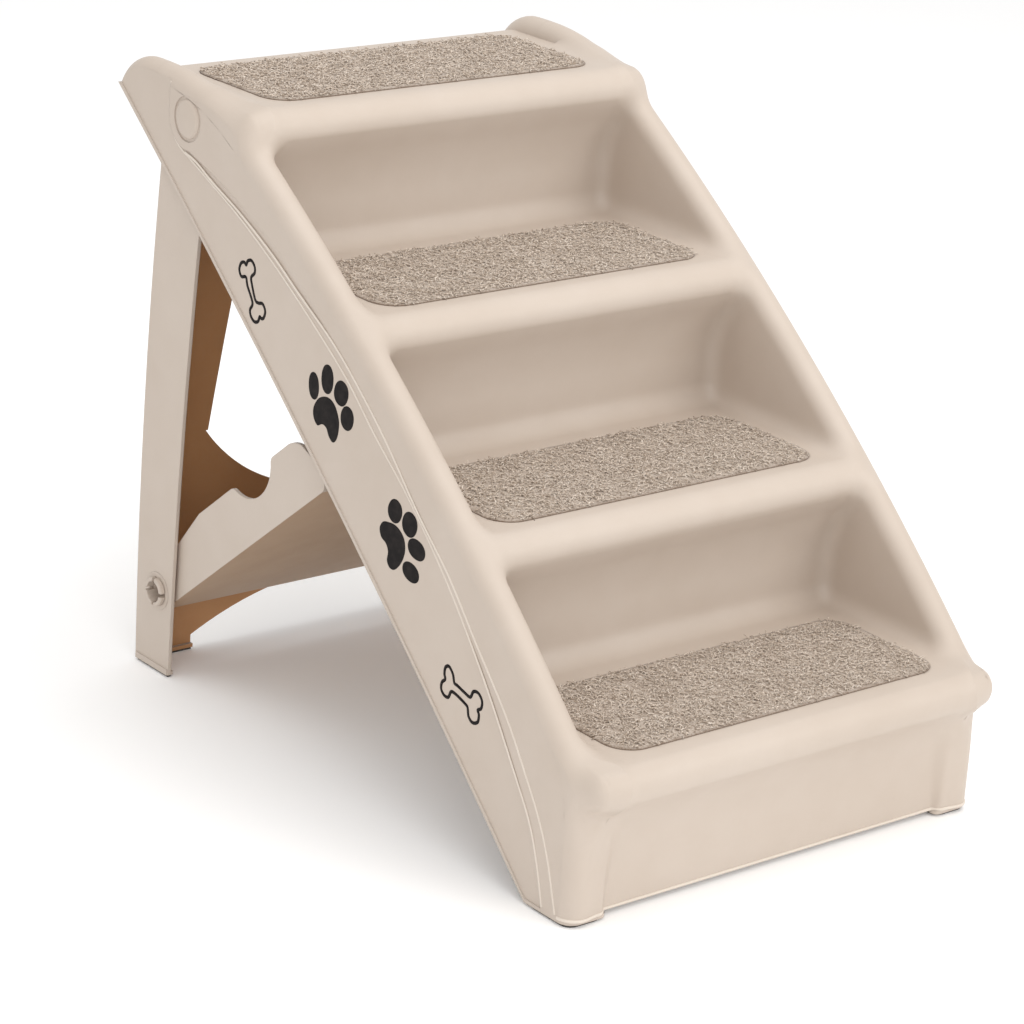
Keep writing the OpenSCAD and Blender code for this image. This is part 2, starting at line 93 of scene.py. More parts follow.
class Wire:
    """The output of a node, which takes part in arithmetic and adds Math nodes for it."""

    def __init__(self, bench: "Bench", socket: bpy.types.NodeSocket) -> None:
        """Keeps the bench that adds nodes and the socket this wire comes from."""
        self.bench = bench
        self.socket = socket

    def _math(self, operation: str, *values: "Value") -> "Wire":
        """Adds one Math node and returns its output."""
        return self.bench.node(self.bench.math_kind, {"operation": operation}, list(values))

    def __add__(self, other: "Value") -> "Wire":
        """self + other"""
        return self._math("ADD", self, other)

    def __radd__(self, other: "Value") -> "Wire":
        """other + self"""
        return self._math("ADD", other, self)

    def __sub__(self, other: "Value") -> "Wire":
        """self - other"""
        return self._math("SUBTRACT", self, other)

    def __mul__(self, other: "Value") -> "Wire":
        """self * other"""
        return self._math("MULTIPLY", self, other)

    def __truediv__(self, other: "Value") -> "Wire":
        """self / other"""
        return self._math("DIVIDE", self, other)

    def __mod__(self, other: "Value") -> "Wire":
        """self modulo other, never negative"""
        return self._math("FLOORED_MODULO", self, other)

    def __gt__(self, other: "Value") -> "Wire":
        """1 where self is greater than other"""
        return self._math("GREATER_THAN", self, other)


Value = Union[Wire, float, int, bool, str, tuple, bpy.types.ID]


class Bench:
    """Adds nodes to one tree."""

    math_kind = "ShaderNodeMath"

    def __init__(self, tree: bpy.types.NodeTree) -> None:
        """Keeps the tree and the column where the next node goes."""
        self.tree = tree
        self.count = 0

    def node(
        self,
        kind: str,
        settings: Optional[dict] = None,
        inputs: Union[dict, Sequence, None] = None,
        out: Union[int, str] = 0,
    ) -> Wire:
        """Adds a node.

        Args:
            kind: the node's type.
            settings: properties set first; "stops" holds a ramp's (position, colour) pairs.
            inputs: values or wires of its sockets, by name, or in order as a list.
            out: name or number of the output that is returned.

        Returns:
            The wire of that output.
        """
        made = self.tree.nodes.new(kind)
        made.location = (self.count * 190, -(self.count % 7) * 160)
        self.count += 1
        for name, value in (settings or {}).items():
            if name == "stops":
                self._stops(made.color_ramp, value)
            else:
                setattr(made, name, value)
        items = inputs.items() if isinstance(inputs, dict) else enumerate(inputs or [])
        for name, value in items:
            socket = made.inputs[name]
            if isinstance(value, Wire):
                self.tree.links.new(value.socket, socket)
            elif value is not None:
                socket.default_value = value
        return Wire(self, made.outputs[out]) if len(made.outputs) else Wire(self, None)

    @staticmethod
    def _stops(ramp: bpy.types.ColorRamp, stops: Sequence[tuple[float, Colour]]) -> None:
        """Sets the stops of a colour ramp."""
        while len(ramp.elements) < len(stops):
            ramp.elements.new(1.0)
        for element, (position, colour) in zip(ramp.elements, stops):
            element.position = position
            element.color = (*colour, 1.0)

    def noise(self, at: Wire, scale: float, detail: float = 2.0, rough: float = 0.5) -> Wire:
        """Noise from 0 to 1 at a place, with scale in patches per metre."""
        return self.node(
            "ShaderNodeTexNoise", {}, {"Vector": at, "Scale": scale, "Detail": detail, "Roughness": rough}
        )

    def bump(self, height: Wire, strength: float, distance: float, normal: Optional[Wire] = None) -> Wire:
        """Bump from a height, with its depth in metres, over another normal if one is given."""
        inputs = {"Strength": strength, "Distance": distance, "Height": height, "Normal": normal}
        return self.node("ShaderNodeBump", {}, inputs)

    def blend(self, share: Value, first: Value, second: Value) -> Wire:
        """Mixes two colours by a share from 0 to 1."""
        made = self.tree.nodes.new("ShaderNodeMix")
        made.data_type = "RGBA"
        made.clamp_factor = True
        for number, value in ((0, share), (6, first), (7, second)):
            if isinstance(value, Wire):
                self.tree.links.new(value.socket, made.inputs[number])
            elif number:
                made.inputs[number].default_value = (*value, 1.0)
            else:
                made.inputs[number].default_value = value
        return Wire(self, made.outputs[2])

    def between(
        self, value: Value, low: float, high: float, to_low: float = 0.0, to_high: float = 1.0
    ) -> Wire:
        """Maps a value from one range to another, clamped."""
        return self.node("ShaderNodeMapRange", {"clamp": True}, [value, low, high, to_low, to_high])


@dataclass(frozen=True)
class Finish:
    """What every finish has: a name and a way to build its material."""

    name: str

    def start(self) -> tuple[bpy.types.Material, Bench, Wire]:
        """Makes an empty material.

        Returns:
            The material, a bench for its tree, and the place on the object.
        """
        material = bpy.data.materials.new(self.name)
        material.use_nodes = True
        material.node_tree.nodes.clear()
        bench = Bench(material.node_tree)
        return material, bench, bench.node("ShaderNodeTexCoord", {}, None, "Object")

    def surface(self, bench: Bench, inputs: dict) -> None:
        """Adds the principled surface and the output."""
        shader = bench.node("ShaderNodeBsdfPrincipled", {}, inputs)
        bench.node("ShaderNodeOutputMaterial", {}, {"Surface": shader})


@dataclass(frozen=True)
class MouldedPlastic(Finish):
    """Cream moulded plastic with a fine satin texture.

    The tone drifts a little over the length of the moulding, the grain is a fine spark-eroded texture, and the
    edge radius rounds the creases in the light.
    """

    light: Colour = (0.545, 0.468, 0.402)
    deep: Colour = (0.515, 0.436, 0.368)
    warm_speck: Colour = (0.48, 0.39, 0.31)
    rough: float = 0.44
    ior: float = 1.48
    specular: float = 0.42
    edge_radius: float = 0.0011
    grain: float = 1500.0

    def build(self) -> bpy.types.Material:
        """Builds the material."""
        material, bench, place = self.start()
        drift = bench.noise(place, 4.5, 3.0)
        cloud = bench.noise(place, 38.0, 3.0)
        grain = bench.noise(place, self.grain, 2.0, 0.6)
        mottle = bench.noise(place, 310.0, 2.0)
        share = bench.between(drift * 0.7 + cloud * 0.3, 0.36, 0.64)
        colour = bench.blend(share, self.light, self.deep)
        speck = bench.between(mottle, 0.3, 0.7, 0.0, 0.05)
        colour = bench.blend(speck, colour, self.warm_speck)
        rough = self.rough - 0.05 + cloud * 0.06 + grain * 0.05
        edge = bench.node("ShaderNodeBevel", {"samples": 6}, {"Radius": self.edge_radius})
        fine = bench.bump(grain, 0.10, 0.00012, edge)
        soft = bench.bump(cloud, 0.10, 0.0006, fine)
        self.surface(
            bench,
            {
                "Base Color": colour,
                "Roughness": rough,
                "Normal": soft,
                "IOR": self.ior,
                "Specular IOR Level": self.specular,
            },
        )
        return material


@dataclass(frozen=True)
class CarpetPile(Finish):
    """Short twisted pile in mixed beige and grey-brown yarns, darker towards its backing: the backing's own
    dark brown, plus painted shade on the roots of the pile.
    """

    yarns: tuple[tuple[float, Colour], ...] = (
        (0.27, (0.200, 0.142, 0.098)),
        (0.40, (0.410, 0.322, 0.246)),
        (0.50, (0.590, 0.492, 0.405)),
        (0.60, (0.730, 0.635, 0.545)),
        (0.72, (0.860, 0.785, 0.700)),
    )
    rise: float = 0.12
    first_tread: float = 0.1225
    below: float = 0.004
    backing_and_root_shade: Colour = (0.105, 0.062, 0.036)

    def build(self) -> bpy.types.Material:
        """Builds the material."""
        material, bench, place = self.start()
        yarn = bench.noise(place, 620.0, 2.0, 0.65)
        patch = bench.noise(place, 70.0, 2.0)
        tone = bench.node("ShaderNodeValToRGB", {"stops": self.yarns}, [yarn * 0.84 + patch * 0.16])
        up = bench.node("ShaderNodeSeparateXYZ", {}, [place], 2)
        # Painted shade, partly the backing's own colour: the lowest 1.7 mm over each tread blends into the dark
        # root colour.
        height = (up - (self.first_tread - self.below)) % self.rise - self.below
        lit = bench.between(height, 0.0002, 0.0017)
        colour = bench.blend(lit, self.backing_and_root_shade, tone)
        bump = bench.bump(bench.noise(place, 900.0, 2.0), 0.6, 0.0008)
        self.surface(
            bench,
            {
                "Base Color": colour,
                "Roughness": 0.92 + yarn * 0.06,
                "Normal": bump,
                "Specular IOR Level": 0.15,
                "Sheen Weight": 0.25,
                "Sheen Roughness": 0.6,
            },
        )
        return material


@dataclass(frozen=True)
class PrintInk(Finish):
    """Ink of the printed figures."""

    ink: Colour = (0.008, 0.006, 0.006)
    worn: Colour = (0.018, 0.014, 0.013)
    rough: float = 0.5
    specular: float = 0.10

    def build(self) -> bpy.types.Material:
        """Builds the material."""
        material, bench, place = self.start()
        wear = bench.noise(place, 160.0, 4.0)
        grain = bench.noise(place, 1500.0, 2.0)
        colour = bench.blend(bench.between(wear, 0.4, 0.7), self.ink, self.worn)
        bump = bench.bump(grain, 0.1, 0.0001)
        self.surface(
            bench,
            {
                "Base Color": colour,
                "Roughness": self.rough + grain * 0.1,
                "Normal": bump,
                "Specular IOR Level": self.specular,
            },
        )
        return material


@dataclass(frozen=True)
class PadRubber(Finish):
    """Dark rubber of the foot pads."""

    tone: Colour = (0.030, 0.027, 0.024)
    dusty: Colour = (0.075, 0.068, 0.060)

    def build(self) -> bpy.types.Material:
        """Builds the material."""
        material, bench, place = self.start()
        dust = bench.noise(place, 120.0, 4.0)
        grain = bench.noise(place, 900.0, 2.0)
        colour = bench.blend(bench.between(dust, 0.4, 0.75), self.tone, self.dusty)
        bump = bench.bump(grain, 0.3, 0.0003)
        self.surface(bench, {"Base Color": colour, "Roughness": 0.72 + dust * 0.12, "Normal": bump})
        return material


@dataclass(frozen=True)
class StudioPaper(Finish):
    """The pale floor of the studio."""

    tone: Colour = (0.93, 0.93, 0.93)
    glow: Colour = (1.0, 0.99, 0.99)
    glow_strength: float = 0.09

    def build(self) -> bpy.types.Material:
        """Builds the material."""
        material, bench, place = self.start()
        cloud = bench.noise(place, 2.0, 2.0)
        colour = bench.blend(cloud, self.tone, tuple(c * 0.985 for c in self.tone))
        self.surface(
            bench,
            {
                "Base Color": colour,
                "Roughness": 0.75,
                "Emission Color": (*self.glow, 1.0),
                "Emission Strength": self.glow_strength,
            },
        )
        return material


# ---- meshes ------------------------------------------------------------------------------------------------


def add_object(
    name: str, mesh: bpy.types.Mesh, material: Optional[bpy.types.Material] = None
) -> bpy.types.Object:
    """Links a mesh to the scene as a new object at the origin.

    Args:
        name: the piece's name.
        mesh: its mesh.
        material: its only material, if the mesh has none yet.

    Returns:
        The new object.
    """
    piece = bpy.data.objects.new(name, mesh)
    bpy.context.scene.collection.objects.link(piece)
    if material is not None:
        mesh.materials.clear()
        mesh.materials.append(material)
    return piece


def baked(piece: bpy.types.Object) -> bpy.types.Object:
    """Turns a piece and its modifiers into a plain mesh.

    Args:
        piece: an object with modifiers.

    Returns:
        The same object, with the result as its mesh and no modifier.
    """
    graph = bpy.context.evaluated_depsgraph_get()
    mesh = bpy.data.meshes.new_from_object(piece.evaluated_get(graph))
    old = piece.data
    piece.modifiers.clear()
    piece.data = mesh
    if old.users == 0:
        bpy.data.meshes.remove(old)
    return piece


def stand_on_side(piece: bpy.types.Object, side: Side, x: float) -> None:
    """Turns a piece drawn flat, as (y, z, outward), onto a side face this far from the middle."""
    s = side.value
    piece.data.transform(Matrix(((0, 0, s, s * x), (1, 0, 0, 0), (0, 1, 0, 0), (0, 0, 0, 1))))
    if side is Side.LEFT:
        piece.data.flip_normals()


def spline(row: Sequence[Pair], first: int, last: int, steps: int) -> list[Pair]:
    """A smooth line through points, from one of them up to another.

    Args:
        row: the points, which repeat beyond both ends.
        first: number of the point where the line starts.
        last: number of the point where it ends, which is left out.
        steps: points for each span.

    Returns:
        The points of the smooth line.
    """
    made: list[Pair] = []
    for i in range(first, last):
        a, b, c, d = (Vector(row[(i + k) % len(row)]) for k in (-1, 0, 1, 2))
        for s in range(steps):
            t = s / steps
            at = 0.5 * (
                2 * b + (c - a) * t + (2 * a - 5 * b + 4 * c - d) * t * t + (3 * b - a - 3 * c + d) * t**3
            )
            made.append((at.x, at.y))
    return made


def set_input(modifier: bpy.types.Modifier, name: str, value: object) -> None:
    """Sets a Geometry Nodes modifier's input, found by name, through its identifier."""
    for item in modifier.node_group.interface.items_tree:
        if item.item_type == "SOCKET" and item.in_out == "INPUT" and item.name == name:
            modifier[item.identifier] = value
            return
    raise KeyError(name)


class GrowthTree:
    """A Geometry Nodes tree with named inputs."""

    def __init__(self, name: str, inputs: Sequence[tuple[str, str, object]]) -> None:
        """Makes the tree.

        Args:
            name: name of the tree.
            inputs: name, socket type and default of each input after the geometry.
        """
        self.tree = bpy.data.node_groups.new(name, "GeometryNodeTree")
        face = self.tree.interface
        face.new_socket("Geometry", in_out="INPUT", socket_type="NodeSocketGeometry")
        face.new_socket("Geometry", in_out="OUTPUT", socket_type="NodeSocketGeometry")
        for title, kind, value in inputs:
            socket = face.new_socket(title, in_out="INPUT", socket_type=kind)
            if value is not None:
                socket.default_value = value
        self.bench = Bench(self.tree)
        self.entry = self.tree.nodes.new("NodeGroupInput")

    def given(self, name: str) -> Wire:
        """The wire of a named input."""
        return Wire(self.bench, self.entry.outputs[name])

    def close(self, geometry: Wire, material: bpy.types.Material) -> bpy.types.NodeTree:
        """Ends the tree in Realize Instances and Set Material."""
        real = self.bench.node("GeometryNodeRealizeInstances", {}, [geometry])
        dressed = self.bench.node("GeometryNodeSetMaterial", {}, {"Geometry": real, "Material": material})
        exit_node = self.tree.nodes.new("NodeGroupOutput")
        self.tree.links.new(dressed.socket, exit_node.inputs[0])
        return self.tree


# ---- the moulded parts -------------------------------------------------------------------------------------


@dataclass
class Moulding:
    """A moulded part that stands for one CAD node, merged and shaded smooth across its shallow creases."""

    node: str
    body: Body
    finish: bpy.types.Material
    smooth_below: float = 32.0
    flat_below: float = 0.4
    merge: float = 0.000004

    def merged(self) -> bmesh.types.BMesh:
        """The node's mesh with its doubles merged and its flat areas joined."""
        bm = bmesh.new()
        bm.from_mesh(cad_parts[self.node].data)
        bmesh.ops.remove_doubles(bm, verts=bm.verts, dist=self.merge)
        bmesh.ops.dissolve_degenerate(bm, edges=bm.edges, dist=self.merge)
        self.carve(bm)
        bmesh.ops.dissolve_limit(
            bm,
            angle_limit=math.radians(self.flat_below),
            verts=bm.verts,
            edges=bm.edges,
            use_dissolve_boundaries=False,
        )
        return bm

    def shade(self, bm: bmesh.types.BMesh) -> None:
        """Marks faces smooth and steep edges sharp."""
        limit = math.radians(self.smooth_below)
        for face in bm.faces:
            face.smooth = True
        for edge in bm.edges:
            edge.smooth = len(edge.link_faces) == 2 and edge.calc_face_angle(0.0) < limit

    def carve(self, bm: bmesh.types.BMesh) -> None:
        """Hook for what a part cuts from its mesh before the flat areas are joined."""

    def refine(self, bm: bmesh.types.BMesh) -> None:
        """Hook for what a part changes on its merged mesh."""

    def cover(self, bm: bmesh.types.BMesh) -> None:
        """Hook for what a part adds once its creases are marked."""

    def build(self) -> bpy.types.Object:
        """Builds the piece, which replaces its node.

        Returns:
            The finished piece.
        """
        bm = self.merged()
        self.refine(bm)
        self.shade(bm)
        self.cover(bm)
        mesh = bpy.data.meshes.new(self.node + "_look")
        bm.to_mesh(mesh)
        bm.free()
        piece = add_object(self.node + "_look", mesh, self.finish)
        weigh = piece.modifiers.new("weigh", "WEIGHTED_NORMAL")
        weigh.keep_sharp = True
        baked(piece)
        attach(piece, self.body.value)
        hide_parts(self.node)
        LOG.info("%s: %d faces", piece.name, len(piece.data.polygons))
        return piece


def arc_points(centre: Pair, radius: float, start: float, end: float, steps: int) -> list[Pair]:
    """Points on an arc, with angles in degrees."""
    return [
        (
            centre[0] + radius * math.cos(math.radians(start + (end - start) * i / steps)),
            centre[1] + radius * math.sin(math.radians(start + (end - start) * i / steps)),
        )
        for i in range(steps + 1)
    ]


class SideLine:
    """A line in the side view with the signed distance to it, positive on its left hand, in millimetres.

    Points closer to the one before than `least` are left out, because the sign would be unsure there.
    """

    cell = 1.0
    least = 0.2
    low = (-345.0, -40.0)
    high = (345.0, 545.0)

    def __init__(self, points: Sequence[Pair]) -> None:
        """Measures the distance on a grid once.

        Args:
            points: the line, closely spaced on its arcs.
        """
        kept = [points[0]]
        kept += [p for before, p in zip(points, points[1:]) if math.dist(before, p) > self.least]
        self.points = np.array(kept, dtype=float)
        ys = np.arange(self.low[0], self.high[0] + self.cell, self.cell)
        zs = np.arange(self.low[1], self.high[1] + self.cell, self.cell)
        grid = np.stack(np.meshgrid(ys, zs, indexing="ij"), axis=-1)
        best = np.full(grid.shape[:2], np.inf)
        sign = np.ones(grid.shape[:2])
        for p, q in zip(self.points, self.points[1:]):
            run = q - p
            away = grid - p
            share = np.clip((away @ run) / (run @ run), 0.0, 1.0)
            gap = away - share[..., None] * run
            square = (gap**2).sum(axis=-1)
            nearer = square < best
            best = np.where(nearer, square, best)
            side = run[0] * away[..., 1] - run[1] * away[..., 0]
            sign = np.where(nearer, np.where(side >= 0.0, 1.0, -1.0), sign)
        self.table = np.sqrt(best) * sign

    def distance(self, y: np.ndarray, z: np.ndarray) -> np.ndarray:
        """Signed distance at places in the side view."""
        fy = np.clip((y - self.low[0]) / self.cell, 0.0, self.table.shape[0] - 1.001)
        fz = np.clip((z - self.low[1]) / self.cell, 0.0, self.table.shape[1] - 1.001)
        iy, iz = fy.astype(int), fz.astype(int)
        u, v = fy - iy, fz - iz
        t = self.table
        near = t[iy, iz] * (1 - v) + t[iy, iz + 1] * v
        far = t[iy + 1, iz] * (1 - v) + t[iy + 1, iz + 1] * v
        return near * (1 - u) + far * u


def soft_least(a: np.ndarray, b: np.ndarray, width: Union[float, np.ndarray]) -> np.ndarray:
    """The lesser of two distances with a fillet where they are alike."""
    share = np.maximum(width - np.abs(a - b), 0.0) / width
    return np.minimum(a, b) - share * share * width * 0.25


@dataclass
class ShellForm:
    """The outer form of the stair shell as a distance, in millimetres. The sizes are the CAD source's."""

    half_w: float = 198.0
    half_depth: float = 310.0
    height: float = 495.0
    going: float = 147.5
    rise: float = 120.0
    first: float = 122.5
    nose_r: float = 17.0
    riser_back: float = 27.0
    foot_r: float = 17.0
    rim_r: float = 12.0
    arch_r: float = 2460.0
    rim_drop: float = 6.5
    hump_r: float = 215.0
    shoulder_r: float = 80.0
    post_back: float = 21.5
    post_w: float = 36.0
    post_depth: float = 40.0
    post_edge: float = 5.0
    post_under: float = 8.0
    post_fillet: float = 8.0
    soft_edge: float = 8.0
    fade_from: float = 40.0
    fade_over: float = 60.0
    fade_in: float = 10.0
    brow_r: float = 42.0
    brow_in: float = 36.0
    apron_r: float = 10.0
    apron_in: float = 13.0
    below: float = -60.0
    end_x: float = 178.0
    end_round: float = 8.0
    sharp: float = 0.01
    rolls: tuple[tuple[int, float], ...] = ((0, 26.0), (3, 70.0))
    fillet_least: float = 1.0
    fillet_more: float = 13.0
    fillet_low: tuple[float, float] = (6.0, 60.0)
    fillet_rear: tuple[float, float] = (238.0, 45.0)

    def __post_init__(self) -> None:
        """Works out the two lines of the side view."""
        self.post_y = self.post_back - self.half_depth
        self.rim_x = self.half_w - self.rim_r
        self.steps_line = SideLine(self.step_points())
        self.rim_points = self.rim_centre()
        self.rim_side = SideLine(self.rim_points)

    def nose(self, k: int) -> Pair:
        """Front of a nose and height of its tread."""
        return self.going * k - self.half_depth, self.first + self.rise * k

    def step_points(self) -> list[Pair]:
        """The profile of the steps, from the foot of the front panel to the rear apron."""
        c, s = math.cos(math.pi / 4), math.sin(math.pi / 4)
        hollow_r = (self.riser_back - self.nose_r + self.nose_r * c) / (1 - c)
        down = self.nose_r + (self.nose_r + hollow_r) * s
        made = [(self.nose(0)[0] + self.riser_back, self.below)]
        for k in range(4):
            y, z = self.nose(k)
            if k:
                foot = (y + self.riser_back - self.foot_r, z - self.rise + self.foot_r)
                made += arc_points(foot, self.foot_r, -90, 0, 14)
            made += arc_points((y + self.riser_back - hollow_r, z - down), hollow_r, 0, 45, 16)
            made += arc_points((y + self.nose_r, z - self.nose_r), self.nose_r, 225, 90, 30)
        rear = self.half_depth - self.apron_in
        apron = (rear - self.apron_r, self.nose(3)[1] - self.apron_r)
        made += arc_points(apron, self.apron_r, 90, 0, 8)
        return made + [(rear, self.below)]

    def rim_centre(self) -> list[Pair]:
        """The line along the middle of the rim, from the floor to the rear."""
        slope = math.atan2(self.rise, self.going)
        up = (-math.sin(slope), math.cos(slope))
        a, b = self.nose(0), self.nose(3)
        reach = self.rim_drop + self.arch_r
        c = ((a[0] + b[0]) / 2 - up[0] * reach, (a[1] + b[1]) / 2 - up[1] * reach)
        hump_z = self.height - self.hump_r
        hump = (c[0] - math.sqrt((self.arch_r - self.hump_r) ** 2 - (hump_z - c[1]) ** 2), hump_z)
        sy = self.post_y + self.shoulder_r
        shoulder = (sy, c[1] + math.sqrt((self.arch_r - self.shoulder_r) ** 2 - (c[0] - sy) ** 2))
        a0, a1 = (math.degrees(math.atan2(q[1] - c[1], q[0] - c[0])) for q in (shoulder, hump))
        brow = (self.half_depth - self.brow_in, self.height - self.brow_r)
        made = [(self.post_y + self.rim_r, self.below)]
        made += arc_points(shoulder, self.shoulder_r - self.rim_r, 180, a0, 24)
        made += arc_points(c, self.arch_r - self.rim_r, a0, a1, 90)[1:]
        made += arc_points(hump, self.hump_r - self.rim_r, a1, 90, 24)[1:]
        return made + arc_points(brow, self.brow_r - self.rim_r, 90, 20, 20)

    def rim(self, x: np.ndarray, y: np.ndarray, z: np.ndarray) -> np.ndarray:
        """Distance to a cheek with its round rim."""
        over = np.maximum(self.rim_side.distance(y, z), 0.0)
        return np.hypot(over, x - self.rim_x) - self.rim_r

    def post(self, x: np.ndarray, y: np.ndarray, r: float) -> np.ndarray:
        """Distance to a front post with its upright edges rounded."""
        mid_x = self.rim_x - self.post_w / 4
        far_x = np.abs(x - mid_x) - (mid_x - (self.half_w - self.post_w) - r)
        half = self.post_depth / 2
        far_y = np.abs(y - (self.post_y + half)) - (half - r)
        outside = np.hypot(np.maximum(far_x, 0), np.maximum(far_y, 0))
        return outside + np.minimum(np.maximum(far_x, far_y), 0) - r

    def cheek(self, x: np.ndarray, y: np.ndarray, z: np.ndarray) -> np.ndarray:
        """Distance to a cheek, with its post fading into the first nose."""
        fade = np.clip((z - self.fade_from) / self.fade_over, 0.0, 1.0)
        post = self.post(x, y, self.soft_edge) + fade * fade * self.fade_in
        post = np.maximum(post, z - self.first + self.nose_r)
        return soft_least(self.rim(x, y, z), post, self.post_fillet)

    def body(self, x: np.ndarray, y: np.ndarray, z: np.ndarray, round_end: float) -> np.ndarray:
        """Distance to the steps between the cheeks, with the noses that run over the rims."""
        steps = self.steps_line.distance(y, z)
        made = -soft_least(-steps, self.end_x - x, round_end)
        for k, roll in self.rolls:
            front, tread = self.nose(k)
            along = np.clip(y - (front + self.nose_r), 0.0, roll)
            away_y = y - (front + self.nose_r) - along
            away_z = z - (tread - self.nose_r)
            ball = np.sqrt((x - self.end_x) ** 2 + away_y**2 + away_z**2) - self.nose_r
            made = soft_least(made, ball, round_end + self.sharp)
        return made

    def fillet(self, y: np.ndarray, z: np.ndarray) -> np.ndarray:
        """Width of the fillets: fine at the floor and at the rear, wide elsewhere."""
        low = np.clip((z - self.fillet_low[0]) / self.fillet_low[1], 0.0, 1.0)
        rear = np.clip((self.fillet_rear[0] - y) / self.fillet_rear[1], 0.0, 1.0)
        return self.fillet_least + self.fillet_more * np.minimum(low, rear)

    def distance(self, x: np.ndarray, y: np.ndarray, z: np.ndarray) -> np.ndarray:
        """Distance to the whole form with its fillets."""
        x = np.abs(x)
        body = self.body(x, y, z, self.end_round)
        joined = soft_least(body, self.cheek(x, y, z), self.fillet(y, z))
        return np.maximum(joined, x - self.half_w)

    def plain(self, x: np.ndarray, y: np.ndarray, z: np.ndarray) -> np.ndarray:
        """Distance to the CAD form, which has no fillets there."""
        x = np.abs(x)
        top = self.first - self.nose_r - self.post_under
        post = np.maximum(self.post(x, y, self.post_edge), z - top)
        return np.minimum(self.body(x, y, z, self.sharp), np.minimum(self.rim(x, y, z), post))


